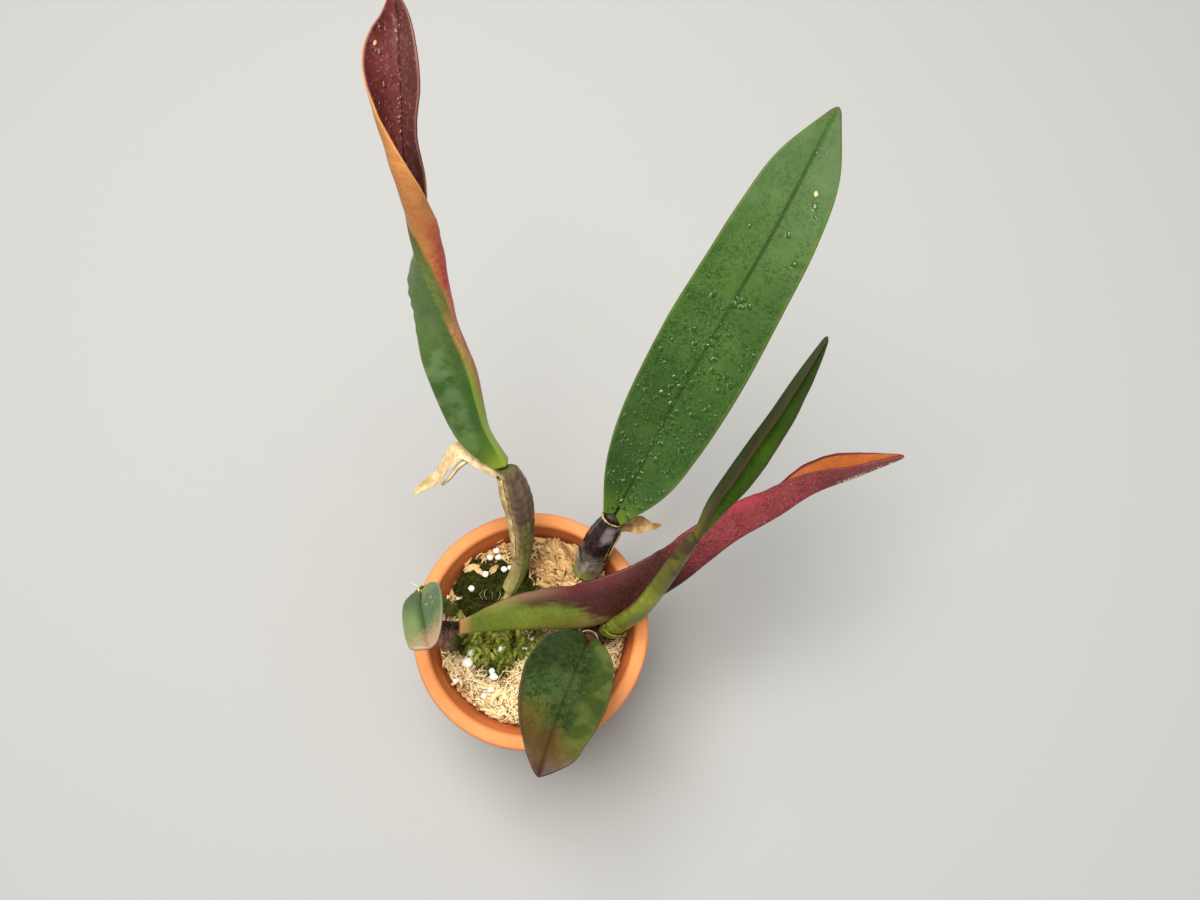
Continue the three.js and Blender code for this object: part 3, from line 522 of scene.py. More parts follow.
# The ground in the pot. Each heap has its place, its reach and its height.
HEAPS = [(14, 28, 13, 4.5), (-26, -22, 12, 1.5), (4, -30, 13, 1.8), (-24, 30, 9, 1.2)]
MAT = {"x": -16, "y": 8, "wide": 22, "long": 27, "height": 2}


def inner_radius(z):
    return RIM_RADIUS - LIP_WIDTH - WALL_SLOPE * (POT_HEIGHT - z)


def surface_height(x, y):
    z = SURFACE + 0.7 * np.sin(0.61 * x + 1.3) * np.cos(0.53 * y - 0.4)
    for hx, hy, reach, height in HEAPS:
        z = z + height * np.exp(-((x - hx) ** 2 + (y - hy) ** 2) / reach**2)
    return z


def mat_share(x, y):
    """0 at the middle of the living moss, 1 at its edge."""
    u = (x - MAT["x"]) / MAT["wide"]
    v = (y - MAT["y"]) / MAT["long"]
    angle = np.arctan2(v, u)
    return np.hypot(u, v) / (1 + 0.1 * np.sin(3 * angle + 0.7) + 0.07 * np.sin(5 * angle + 2.1))


def ground_height(x, y):
    share = np.minimum(mat_share(x, y), 1)
    return surface_height(x, y) + MAT["height"] * (1 - share**4)


# Finishes
def paint(red, green, blue):
    """A colour in steps of 0 to 255 as the linear colour that a shader takes."""
    steps = [value / 255 for value in (red, green, blue)]
    return tuple(s / 12.92 if s <= 0.04045 else ((s + 0.055) / 1.055) ** 2.4 for s in steps)


# The linear colours of the fine grain on the leaves and on the stems
PALE_GRAIN = (0.6, 0.6, 0.5)
TAN_GRAIN = (0.6, 0.5, 0.35)


class Wire:
    """A socket in a finish. Sums and products of wires and numbers add Math nodes."""

    def __init__(self, finish, socket):
        self.finish = finish
        self.socket = socket

    def math(self, operation, first, second=0.0):
        return self.finish.node("ShaderNodeMath", {"operation": operation}, {0: first, 1: second})

    def __add__(self, other):
        return self.math("ADD", self, other)

    def __sub__(self, other):
        return self.math("SUBTRACT", self, other)

    def __mul__(self, other):
        return self.math("MULTIPLY", self, other)

    def __rsub__(self, other):
        return self.math("SUBTRACT", other, self)

    __radd__ = __add__
    __rmul__ = __mul__

    def __abs__(self):
        return self.math("ABSOLUTE", self)

    def sine(self):
        return self.math("SINE", self)

    def over(self, low, high):
        """0 below low and 1 above high, with a smooth rise between; low may be the higher."""
        if low > high:
            return 1 - self.over(high, low)
        return self.finish.node("ShaderNodeMapRange", {"interpolation_type": "SMOOTHSTEP"},
                                {"Value": self, "From Min": low, "From Max": high})


class Finish:
    """A procedural material on the Principled shader."""

    def __init__(self, name, constants):
        self.material = bpy.data.materials.new(name)
        self.material.use_nodes = True
        self.tree = self.material.node_tree
        self.shader = self.tree.nodes["Principled BSDF"]
        for socket, value in constants.items():
            self.shader.inputs[socket].default_value = value

    def node(self, kind, settings=None, inputs=None, output=0):
        """Any node: its settings first, then the values or wires of its sockets."""
        made = self.tree.nodes.new(kind)
        for setting, value in (settings or {}).items():
            setattr(made, setting, value)
        for key, value in (inputs or {}).items():
            socket = made.inputs[key]
            if isinstance(value, Wire):
                self.tree.links.new(value.socket, socket)
            elif socket.type == "RGBA":
                socket.default_value = (*value, 1)
            else:
                socket.default_value = value
        return Wire(self, made.outputs[output])

    def feed(self, socket, wire):
        self.tree.links.new(wire.socket, self.shader.inputs[socket])

    def mark(self, name):
        return self.node("ShaderNodeAttribute", {"attribute_name": name}, output="Fac")

    def place(self):
        """Where a point is, in millimetres."""
        metres = self.node("ShaderNodeTexCoord", output="Object")
        return self.node("ShaderNodeVectorMath", {"operation": "SCALE"}, {0: metres, "Scale": 1 / MM})

    def vector(self, x, y, z=0.0):
        return self.node("ShaderNodeCombineXYZ", inputs={0: x, 1: y, 2: z})

    def noise(self, where, size, detail=3.0, stretch=(1, 1, 1), seed=0.0, warp=0.0):
        moved = self.node("ShaderNodeVectorMath", {"operation": "MULTIPLY_ADD"}, {
            0: where, 1: tuple(part / size for part in stretch), 2: (seed, 1.7 * seed, -seed)})
        return self.node("ShaderNodeTexNoise", inputs={
            "Vector": moved, "Scale": 1.0, "Detail": detail, "Roughness": 0.55, "Distortion": warp})

    def cells(self, where, size, seed=0.0):
        moved = self.node("ShaderNodeVectorMath", {"operation": "MULTIPLY_ADD"}, {
            0: where, 1: (1 / size,) * 3, 2: (seed, seed, seed)})
        return self.node("ShaderNodeTexVoronoi", inputs={"Vector": moved, "Scale": 1.0})

    def mix(self, share, first, second):
        return self.node("ShaderNodeMix", {"data_type": "RGBA"}, {0: share, 6: first, 7: second}, 2)

    def coats(self, colour, *layers):
        """A colour with coats laid over it in turn, each a share and a colour."""
        for share, coat in layers:
            colour = self.mix(share, colour, coat)
        return colour

    def bump(self, height, deep, strength):
        self.feed("Normal", self.node("ShaderNodeBump", inputs={
            "Strength": strength, "Distance": deep * MM, "Height": height}))


class LeafFinish(Finish):
    """A leaf's finish, with the places on the leaf that its colours follow."""

    def __init__(self, name, seed, gloss):
        super().__init__(name, {"Roughness": gloss, "Specular IOR Level": 0.18})
        self.gloss = gloss
        self.run = self.mark("run")
        self.reach = self.mark("reach")
        self.out = self.mark("out")
        self.skin = self.mark("skin")
        self.spot = self.vector(self.out, self.mark("along"), self.skin * 9)
        self.broad = self.noise(self.spot, 26, 2, seed=seed)
        self.patch = self.noise(self.spot, 10, 2, seed=seed + 1.3)
        self.fleck = self.noise(self.spot, 2.6, 2, seed=seed + 2.1, warp=1.4)
        self.scribble = abs(self.noise(self.spot, 2.1, 1, seed=seed + 5, warp=0.8) - 0.5)
        self.grain = self.noise(self.spot, 0.9, 3, seed=seed + 3.7)
        # A strip along the midrib. Where a finish darkens it on the upper skin, that is painted shade
        # in the midrib's groove.
        self.midrib = abs(self.out).over(1.3, 0.2)
        self.margin = abs(self.reach).over(0.93, 0.985)
        self.right = self.reach.over(-0.03, 0.03)

    def speck(self, run, reach, radius, length, width):
        """1 inside an uneven speck at one place on the leaf."""
        away = self.vector((self.run - run) * (length / radius),
                           (self.reach - reach) * (width / radius))
        far = self.node("ShaderNodeVectorMath", {"operation": "LENGTH"}, {0: away}, "Value")
        return (far + (self.fleck - 0.5) * 1.6).over(1.2, 0.8)

    def mottled(self, light, dark, spots, depth):
        """Light and dark in broad clouds, with fine scribbled marks of a third colour."""
        base = self.mix(self.broad.over(0.36, 0.64) * 0.6 + self.fleck * 0.4, dark, light)
        marks = self.scribble.over(0.07, 0.03) * self.patch.over(0.3, 0.5)
        return self.mix(marks * depth, base, spots)

    def close(self, upper, lower):
        """Joins both skins' colours, and adds fine veins, pits and uneven gloss."""
        colour = self.mix(self.skin.over(-0.3, 0.3), lower, upper)
        self.feed("Base Color", self.mix(self.grain.over(0.5, 0.8) * 0.035, colour, PALE_GRAIN))
        veins = (abs(self.reach) * 75).sine()
        self.bump(veins * 0.05 + self.fleck * 0.9 + self.grain * 0.6, 0.12, 0.5)
        self.feed("Roughness", self.gloss + (self.patch - 0.5) * 0.3 + (self.grain - 0.5) * 0.2)
        return self


def leaf_1_finish():
    leaf = LeafFinish("leaf_1_red_and_green", 21.0, 0.4)
    run, reach = leaf.run, leaf.reach
    inside = leaf.coats(
        leaf.mottled(paint(108, 48, 44), paint(78, 32, 31), paint(56, 20, 21), 0.45),
        # One half painted greyer: a painted reflection on the wet surface.
        (leaf.right * 0.55, paint(84, 56, 50)),
        # Painted shade in the midrib's groove.
        (leaf.midrib * 0.75, paint(36, 16, 18)),
        (leaf.fleck.over(0.56, 0.68) * 0.3, paint(160, 112, 104)),
        (leaf.margin * 0.4, paint(150, 104, 96)),
        (leaf.speck(0.905, -0.72, 0.8, 187, 15), paint(226, 174, 124)))
    pale = leaf.patch.over(0.42, 0.6) * run.over(0.5, 0.3) * reach.over(0.1, 0.4)
    green = leaf.coats(
        leaf.mottled(paint(90, 114, 60), paint(54, 87, 33), paint(44, 76, 26), 0.3),
        (pale * 0.4, paint(120, 140, 96)),
        (leaf.margin * 0.4, paint(150, 158, 116)),
        (run.over(0.13, 0.0), paint(92, 120, 34)))
    wash = run + (leaf.broad - 0.5) * 0.12
    orange = leaf.mottled(paint(204, 144, 84), paint(186, 120, 66), paint(168, 96, 56), 0.4)
    left = leaf.coats(green, (wash.over(0.55, 0.64), orange),
                      (run.over(0.68, 0.74), paint(104, 54, 50)))
    hot = ((leaf.patch - 0.5) * 0.3 - reach).over(0.12, 0.45)
    olive = leaf.mix(hot * run.over(0.12, 0.26), paint(142, 164, 52), paint(176, 62, 42))
    rosy = leaf.mix(leaf.fleck.over(0.4, 0.6), paint(170, 50, 46), paint(190, 78, 68))
    amber = leaf.mix(leaf.fleck.over(0.4, 0.65), paint(184, 122, 58), paint(204, 150, 96))
    edge = ((leaf.patch - 0.5) * 0.25 - reach).over(0.3, 0.65) * run.over(0.66, 0.54)
    brink = run.over(0.56, 0.68) * 0.25
    verge = (reach + 0.2 - brink + (leaf.fleck - 0.5) * 0.12).over(-0.05, 0.05)
    rim = leaf.mix(run.over(0.55, 0.65), paint(206, 96, 92), paint(214, 150, 92))
    right = leaf.coats(
        olive,
        (wash.over(0.2, 0.36), leaf.mix(hot, amber, rosy)),
        (wash.over(0.48, 0.6), leaf.mix(edge * 0.85, orange, rosy)),
        (run.over(0.88, 1.0), paint(142, 66, 56)),
        (verge * run.over(0.34, 0.44) * 0.9, green),
        (leaf.margin * run.over(0.2, 0.3) * 0.6, rim))
    outside = leaf.coats(right, (leaf.right, left), (run.over(0.06, 0.0), paint(138, 160, 48)))
    return leaf.close(inside, outside)


def leaf_2_finish():
    leaf = LeafFinish("leaf_2_green", 4.0, 0.55)
    run, reach = leaf.run, leaf.reach
    # Painted shade in the midrib's groove, growing towards the tip.
    groove_shade = leaf.midrib * run.over(0.99, 0.8) * (0.3 + run * 0.45)
    upper = leaf.coats(
        leaf.mottled(paint(72, 101, 42), paint(52, 82, 30), paint(24, 52, 12), 0.6),
        (run.over(0.5, 0.95) * 0.45, paint(68, 94, 42)),
        (run.over(0.4, 0.1) * 0.35, paint(42, 66, 28)),
        (reach.over(0.1, -0.7) * run.over(0.5, 0.15) * 0.45, paint(38, 58, 20)),
        (groove_shade, paint(24, 44, 14)),
        (leaf.margin * 0.4, paint(112, 130, 60)),
        (run.over(0.09, 0.0) * 0.8, paint(98, 122, 40)),
        (run.over(0.07, 0.02) * abs(leaf.out).over(2.2, 0.9), paint(34, 26, 14)),
        (run.over(0.95, 1.0) * abs(reach).over(0.2, 0.95) * 0.8, paint(86, 62, 56)),
        (leaf.speck(0.835, 0.5, 0.85, 184, 17), paint(214, 184, 140)))
    lower = leaf.coats(
        leaf.mottled(paint(112, 138, 84), paint(94, 124, 70), paint(78, 108, 56), 0.3),
        (leaf.midrib * 0.6, paint(134, 152, 92)))
    return leaf.close(upper, lower)


def leaf_3_finish():
    leaf = LeafFinish("leaf_3_green_and_olive", 13.0, 0.4)
    run, reach = leaf.run, leaf.reach
    upper = leaf.coats(
        leaf.mottled(paint(94, 132, 26), paint(66, 102, 16), paint(44, 72, 12), 0.5),
        (abs(reach).over(0.55, 0.95) * 0.6, paint(50, 66, 18)),
        (run.over(0.5, 0.95) * 0.7, paint(50, 66, 28)),
        (run.over(0.16, 0.0) * 0.6, paint(116, 120, 36)),
        (leaf.margin * 0.9, paint(62, 40, 22)),
        # Painted shade in the midrib's groove, deep in the fold.
        (leaf.midrib * 0.6, paint(50, 76, 16)))
    lower = leaf.coats(
        leaf.mottled(paint(50, 60, 17), paint(37, 45, 11), paint(34, 30, 9), 0.5),
        (run.over(0.24, 0.0), paint(96, 96, 32)),
        (run.over(0.55, 1.0) * 0.7, paint(50, 58, 34)),
        (abs(reach).over(0.5, 0.95) * run.over(0.9, 0.6) * 0.7, paint(66, 40, 24)),
        (leaf.margin * 0.35, paint(84, 78, 44)))
    return leaf.close(upper, lower)


def leaf_4_finish():
    leaf = LeafFinish("leaf_4_maroon_and_olive", 27.0, 0.4)
    run, reach = leaf.run, leaf.reach
    # Dark maroon: the leaf's own colour, painted darker still as shade where the shoot passes over the
    # leaf.
    wine = leaf.mottled(paint(66, 27, 22), paint(44, 18, 14), paint(32, 13, 10), 0.5)
    crimson = leaf.mottled(paint(150, 66, 68), paint(118, 42, 48), paint(92, 30, 36), 0.6)
    grain = leaf.noise(leaf.spot, 2.4, 3, stretch=(1, 0.12, 1), seed=6) - 0.5
    rise = reach * 0.9 + run * 2.2 + grain * 0.7 + (leaf.patch - 0.5) * 0.15
    band = rise.over(0.6, 1.2) * run.over(0.06, 0.16)
    brown = (run + grain * 0.12).over(0.12, 0.26) * reach.over(0.45, 0.0)
    spread = (run + grain * 0.1 + (leaf.patch - 0.5) * 0.06).over(0.24, 0.37)
    rosy = reach.over(0.55, 0.9) * run.over(0.12, 0.24) * run.over(0.5, 0.36)
    tan = reach.over(0.6, 0.95) * run.over(0.03, 0.1) * run.over(0.24, 0.14)
    dust = leaf.grain.over(0.5, 0.7) * leaf.fleck.over(0.4, 0.6) * run.over(0.45, 0.55)
    # A painted highlight on the raised ridge by the margin, about two thirds of the way out.
    ridge_highlight = abs(run - 0.69).over(0.05, 0.02) * reach.over(0.5, 0.9)
    # Painted highlights: white flecks along the keel near the tip.
    keel = (reach - run.over(0.8, 0.96) * 0.22).over(0.1, 0.0)
    keel_highlights = keel * run.over(0.84, 0.9) * leaf.fleck.over(0.44, 0.56)
    outside = leaf.coats(
        leaf.mottled(paint(112, 122, 40), paint(84, 98, 28), paint(70, 80, 24), 0.4),
        (run.over(0.03, 0.0), paint(168, 126, 78)),
        (brown * 0.75, paint(92, 70, 34)),
        # The dark maroon, partly painted shade of the shoot.
        ((band + spread).over(0.0, 1.0), wine),
        (rosy * 0.55, paint(98, 34, 38)),
        (tan * 0.5, paint(150, 118, 84)),
        (run.over(0.46, 0.62), crimson),
        (dust * 0.15, paint(206, 170, 170)),
        (ridge_highlight * 0.6, paint(184, 66, 76)),
        (run.over(0.84, 1.0) * 0.5, paint(130, 84, 76)),
        (leaf.margin * 0.5, paint(92, 34, 36)),
        (keel_highlights * 0.7, paint(232, 214, 208)))
    inside = leaf.coats(
        leaf.mottled(paint(178, 96, 40), paint(148, 76, 30), paint(128, 60, 28), 0.4),
        (run.over(0.75, 0.55), paint(76, 56, 34)),
        (abs(reach).over(0.86, 0.95), paint(88, 22, 22)),
        # Painted shade in the midrib's groove.
        (abs(leaf.out).over(1.6, 0.5) * 0.8, paint(92, 26, 26)))
    return leaf.close(inside, outside)


def leaf_5_finish():
    leaf = LeafFinish("leaf_5_grey_green", 17.0, 0.26)
    run, reach = leaf.run, leaf.reach
    # Painted shade along the fold, on the half that goes under the other.
    fold_shade = leaf.right * (reach.over(0.55, 0.0) + run.over(0.45, 0.15)).over(0.0, 1.1)
    pink = (run - reach * 0.12 + (leaf.fleck - 0.5) * 0.25).over(0.68, 1.0)
    upper = leaf.coats(
        leaf.mottled(paint(112, 128, 88), paint(72, 92, 60), paint(50, 72, 40), 0.25),
        (leaf.right * run.over(0.35, 0.7) * 0.6, paint(124, 136, 86)),
        (fold_shade * 0.8, paint(50, 76, 30)),
        # Painted shade in the midrib's groove.
        (leaf.midrib * 0.35, paint(34, 52, 28)),
        (leaf.margin * 0.5, paint(146, 150, 120)),
        (pink * 0.85, paint(166, 132, 106)),
        (run.over(0.14, 0.0) * 0.7, paint(126, 132, 44)))
    lower = leaf.coats(
        leaf.mottled(paint(94, 118, 84), paint(70, 98, 66), paint(54, 80, 52), 0.3),
        (run.over(0.55, 1.0) * 0.8, paint(142, 114, 100)))
    return leaf.close(upper, lower)


def leaf_6_finish():
    leaf = LeafFinish("leaf_6_dark_green", 9.0, 0.42)
    run, reach, patch = leaf.run, leaf.reach, leaf.patch
    stray = leaf.fleck - 0.5
    dark = leaf.fleck.over(0.52, 0.42) * patch.over(0.56, 0.44) * run.over(0.8, 0.5)
    bloom = (patch + stray * 0.9).over(0.52, 0.62) * run.over(0.85, 0.4)
    low = run + (patch - 0.5) * 0.35 + stray * 0.3 + reach * 0.1
    rust = low.over(0.6, 0.9) + low.over(0.55, 0.75) * abs(leaf.out - 1.0).over(5, 1)
    green = reach.over(-0.25, -0.6) * (run + stray * 0.4).over(0.94, 0.72)
    fresh = leaf.mix(patch.over(0.4, 0.6), paint(56, 72, 24), paint(84, 94, 38))
    wine = run.over(0.88, 1.0) + reach.over(0.84, 1.0) * run.over(0.3, 0.6)
    upper = leaf.coats(
        leaf.mottled(paint(64, 84, 35), paint(27, 41, 13), paint(20, 34, 9), 0.3),
        (dark * 0.6, paint(18, 36, 11)),
        (bloom * 0.22, paint(92, 110, 68)),
        (reach.over(-0.1, 0.7) * run.over(0.55, 0.2) * 0.5, paint(20, 31, 7)),
        (run.over(0.4, 0.05) * 0.4, paint(30, 46, 14)),
        (run.over(0.1, 0.02) * abs(leaf.out).over(4.5, 1.5), paint(52, 36, 14)),
        (low.over(0.56, 0.76) * 0.75, paint(98, 82, 30)),
        (rust.over(0.0, 1.2) * 0.7, paint(66, 38, 17)),
        (green * 0.7, fresh),
        # Painted shade in the midrib's groove.
        (leaf.midrib * 0.4, paint(24, 34, 16)),
        (wine.over(0.0, 1.0) * 0.8, paint(60, 30, 32)),
        (leaf.margin * 0.35, paint(96, 84, 62)))
    lower = leaf.coats(
        leaf.mottled(paint(100, 120, 74), paint(80, 102, 60), paint(70, 60, 46), 0.3),
        (run.over(0.6, 1.0) * 0.6, paint(118, 66, 52)))
    return leaf.close(upper, lower)


def wet_finish(name, colour, glint):
    """A bead of water: a glossy film of the leaf's own colour, with a painted highlight on one side.
    """
    drop = Finish(name, {"Roughness": 0.16, "Specular IOR Level": 0.35})
    drop.feed("Base Color", drop.mix(drop.mark("lit").over(0.45, 0.95), colour, glint))
    return drop


class StemFinish(Finish):
    """A stem's finish, with the places along it and round it that its colours follow."""

    def __init__(self, name, seed, gloss):
        super().__init__(name, {"Roughness": gloss, "Specular IOR Level": 0.3})
        self.gloss = gloss
        self.run = self.mark("run")
        self.turn = self.mark("turn")
        where = self.place()
        self.broad = self.noise(where, 14, 2, seed=seed)
        self.streak = self.noise(where, 1.6, 3, stretch=(1, 0.35, 0.22), seed=seed + 1)
        self.patch = self.noise(where, 5, 3, seed=seed + 2)
        self.grain = self.noise(where, 0.6, 3, seed=seed + 3)

    def side(self, middle, half):
        """1 near one side of the stem, which faces the turn given from 0 to 1."""
        away = abs(self.node("ShaderNodeMath", {"operation": "WRAP"},
                             {0: self.turn - middle, 1: 0.5, 2: -0.5}))
        return away.over(half, half * 0.4)

    def close(self, colour):
        """Adds a fine grain to the colour, and uneven gloss, dull at the stem's cut top."""
        self.feed("Base Color", self.mix(self.grain.over(0.55, 0.8) * 0.08, colour, TAN_GRAIN))
        self.bump(self.streak * 0.9 + self.grain * 0.4, 0.25, 0.6)
        dull = self.run.over(0.96, 0.99) * 0.5
        self.feed("Roughness", self.gloss + (self.patch - 0.5) * 0.4 + dull)
        return self


def bulb_1_finish():
    bulb = StemFinish("bulb_1_ribbed_brown", 3.0, 0.42)
    run, stray = bulb.run, bulb.patch - 0.5
    ribs = (bulb.turn * 56.5 + bulb.broad * 9).sine()
    lines = (ribs * 0.05 + bulb.streak + stray * 0.3).over(0.34, 0.66)
    base = bulb.coats(
        bulb.mix(lines, paint(96, 80, 54), paint(160, 140, 98)),
        (bulb.side(0.92, 0.28) * run.over(0.72, 0.5) * 0.8, paint(82, 94, 36)),
        (bulb.side(0.86, 0.26) * (run + stray * 0.6).over(0.4, 0.68) * 0.8, paint(84, 60, 56)),
        (run.over(0.42, 0.2) * 0.55, paint(190, 176, 112)),
        (run.over(0.44, 0.2) * bulb.side(0.96, 0.24) * 0.8, paint(90, 108, 42)),
        (bulb.side(0.52, 0.2) * run.over(0.15, 0.3) * 0.8, paint(208, 182, 130)),
        (bulb.patch.over(0.56, 0.68) * run.over(0.6, 0.85) * 0.7, paint(62, 46, 28)),
        (abs(run - 0.94).over(0.02, 0.008) * 0.3, paint(60, 44, 26)),
        (run.over(0.97, 0.99), paint(84, 78, 44)))
    return bulb.close(base)


def bulb_2_finish():
    bulb = StemFinish("bulb_2_purple_black", 6.0, 0.2)
    run = bulb.run
    bulb.shader.inputs["Coat Roughness"].default_value = 0.2
    bulb.feed("Coat Weight", run.over(0.96, 0.92) * 0.6)
    # A painted highlight: a pale mauve gleam on one side of the upper bulb.
    painted_sheen = bulb.side(0.78, 0.1) * (run + (bulb.patch - 0.5) * 0.3).over(0.7, 0.8)
    base = bulb.coats(
        bulb.mix(bulb.broad.over(0.4, 0.6), paint(26, 15, 17), paint(44, 29, 30)),
        (bulb.streak.over(0.56, 0.72) * 0.25, paint(96, 80, 78)),
        (painted_sheen * run.over(0.94, 0.86) * 0.8, paint(146, 130, 132)),
        (run.over(0.6, 0.52), paint(98, 90, 80)),
        (run.over(0.32, 0.15), paint(110, 124, 56)),
        (run.over(0.965, 0.99), paint(48, 38, 26)))
    return bulb.close(base)


def bulb_4_finish():
    bulb = StemFinish("bulb_4_mauve", 8.0, 0.4)
    run = bulb.run
    rings = (run * 260).sine()
    base = bulb.coats(
        bulb.mix(bulb.streak.over(0.4, 0.6), paint(96, 58, 52), paint(154, 108, 90)),
        (rings.over(0.1, 0.9) * run.over(0.8, 0.86) * 0.5, paint(64, 36, 34)),
        (bulb.side(0.25, 0.26) * run.over(0.7, 0.8), paint(30, 15, 12)),
        (run.over(0.6, 0.4), paint(80, 80, 46)))
    return bulb.close(base)


def bulb_green_finish(name, top):
    bulb = StemFinish(name, 11.0, 0.4)
    base = bulb.mix(bulb.streak.over(0.4, 0.6), paint(84, 98, 36), paint(122, 132, 56))
    return bulb.close(bulb.mix(bulb.run.over(0.75, 0.95), base, top))


def shoot_3_finish():
    shoot = StemFinish("shoot_3_olive", 14.0, 0.38)
    run = shoot.run
    base = shoot.coats(
        shoot.mix(shoot.broad.over(0.4, 0.62), paint(100, 108, 34), paint(130, 136, 46)),
        (shoot.streak.over(0.55, 0.7) * 0.35, paint(84, 86, 34)),
        # One side painted darker: painted shade on the side away from the light.
        (shoot.side(0.42, 0.16) * run.over(0.25, 0.5) * 0.65, paint(66, 58, 28)),
        (run.over(0.58, 0.82) * 0.75, paint(84, 74, 36)),
        (run.over(0.8, 0.95) * 0.6, paint(58, 48, 24)),
        (shoot.patch.over(0.38, 0.62) * run.over(0.6, 0.88) * 0.8, paint(58, 40, 24)),
        (abs(run - 0.93).over(0.05, 0.02) * 0.6, paint(70, 50, 28)),
        (run.over(0.1, 0.0), paint(64, 40, 34)))
    return shoot.close(base)


def rhizome_finish():
    bark = StemFinish("rhizome_and_roots", 19.0, 0.6)
    base = bark.coats(
        bark.mix(bark.patch.over(0.4, 0.6), paint(84, 90, 32), paint(150, 150, 62)),
        (bark.streak.over(0.5, 0.7) * 0.5, paint(74, 68, 40)),
        (bark.broad.over(0.5, 0.7) * 0.5, paint(132, 118, 84)))
    return bark.close(base)


def dimmed(colour, share):
    return tuple(part * share for part in colour)


def paper_finish(name, light, dark, seed, gloss=0.75):
    paper = Finish(name, {"Roughness": gloss, "Specular IOR Level": 0.3})
    where = paper.place()
    fibre = paper.noise(where, 0.9, 4, stretch=(1, 0.4, 0.3), seed=seed)
    blotch = paper.noise(where, 5, 2, seed=seed + 2)
    paper.feed("Base Color", paper.coats(
        light, (blotch.over(0.35, 0.65), dark), (fibre.over(0.5, 0.72) * 0.5, dimmed(dark, 0.55))))
    paper.bump(fibre + blotch * 0.5, 0.2, 0.7)
    return paper


def bloomed_finish():
    """The grey bloomed sheath at a pseudobulb's foot, green towards its base and dark along its torn
    edge.
    """
    skin = Finish("bloomed_sheath", {"Roughness": 0.45, "Specular IOR Level": 0.3})
    where = skin.place()
    run = skin.mark("run")
    streak = skin.noise(where, 1.2, 4, stretch=(1, 0.4, 0.3), seed=2)
    cloud = skin.noise(where, 4, 2, seed=4)
    skin.feed("Base Color", skin.coats(
        skin.mix(cloud.over(0.35, 0.65), paint(124, 112, 102), paint(176, 164, 150)),
        (streak.over(0.5, 0.7) * 0.35, paint(72, 58, 56)),
        ((run + (cloud - 0.5) * 0.3).over(0.55, 0.2), paint(150, 168, 92)),
        (run.over(0.92, 0.98) * 0.7, paint(52, 40, 38))))
    skin.bump(streak, 0.2, 0.6)
    return skin


def clay_finish():
    clay = Finish("terracotta", {"Roughness": 0.85, "Specular IOR Level": 0.3})
    where = clay.place()
    height = clay.node("ShaderNodeSeparateXYZ", inputs={0: where}, output=2)
    broad = clay.noise(where, 30, 3, seed=2)
    rings = clay.noise(clay.vector(0.0, 0.0, height), 1.4, 3, seed=5)
    grit = clay.noise(where, 0.7, 4, seed=7)
    specks = clay.cells(where, 1.9, seed=3)
    bloom = clay.noise(where, 12, 4, seed=11).over(0.55, 0.75) * height.over(60, 20)
    clay.feed("Base Color", clay.coats(
        clay.mix(broad.over(0.35, 0.65), paint(206, 118, 66), paint(220, 134, 78)),
        (height.over(88.5, 91.5) * 0.55, paint(232, 156, 96)),
        (rings.over(0.5, 0.7) * 0.25, paint(190, 102, 56)),
        (clay.mark("inside") * 0.5, paint(226, 124, 58)),
        # Darker low on the inner wall, towards the fill.
        (clay.mark("damp") * 0.3, paint(176, 92, 50)),
        (specks.over(0.14, 0.06) * grit.over(0.45, 0.6) * 0.6, paint(240, 206, 170)),
        (bloom * 0.35, paint(232, 196, 164))))
    clay.bump(rings * 0.7 + grit * 0.5, 0.22, 0.5)
    return clay


def sphagnum_finish(name, pale, warm, deep, seed):
    """Dry moss, paler where its tone is higher, with fine dark lines along the flakes."""
    moss = Finish(name, {"Roughness": 0.9, "Specular IOR Level": 0.25})
    where = moss.place()
    tone = moss.mark("tone")
    across = moss.mark("across")
    fibre = moss.noise(where, 0.5, 4, seed=seed)
    blotch = moss.noise(where, 7, 3, seed=seed + 1)
    lines = moss.noise(moss.vector(across, 0.0), 0.55, 2, seed=seed + 2)
    moss.feed("Base Color", moss.coats(
        moss.mix((tone * 0.75 + blotch * 0.5).over(0.25, 0.85), warm, pale),
        (fibre.over(0.52, 0.72) * 0.55, deep),
        (lines.over(0.48, 0.62) * across.over(0.0, 1.0) * 0.55, deep),
        # Deep where the tone is lowest: on the bed under the strands this is painted shade in the
        # gaps, on a few strands darker moss.
        (tone.over(0.12, 0.02) * 0.8, deep)))
    moss.bump(fibre, 0.4, 0.9)
    return moss


def living_moss_finish(name, light, dark, seed):
    moss = Finish(name, {"Roughness": 0.8, "Specular IOR Level": 0.12})
    where = moss.place()
    fine = moss.noise(where, 0.8, 3, seed=seed)
    blotch = moss.noise(where, 6, 3, seed=seed + 1)
    moss.feed("Base Color", moss.coats(
        dark,
        ((moss.mark("tone") * 0.7 + blotch * 0.5).over(0.3, 0.9), light),
        (fine.over(0.5, 0.7) * 0.5, dimmed(dark, 0.35))))
    moss.bump(fine, 0.4, 0.8)
    return moss


def perlite_finish():
    # A faint glow: painted light that keeps the white grains pale even in shade.
    stone = Finish("perlite_grains", {
        "Roughness": 0.9, "Emission Color": (1, 1, 0.97, 1), "Emission Strength": 0.16})
    pits = stone.cells(stone.place(), 0.5)
    white = stone.mix(pits.over(0.2, 0.5) * 0.3, paint(240, 238, 228), paint(255, 254, 248))
    stone.feed("Base Color", white)
    stone.bump(pits, 0.2, 0.7)
    return stone


# The pot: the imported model's profile on a finer round, with throwing lines, an uneven edge and a
# small nick in the lip, whose turn is in radians
POT_SECTORS = 224
POT_STEP = 2.2
NICK_TURN = 1.02


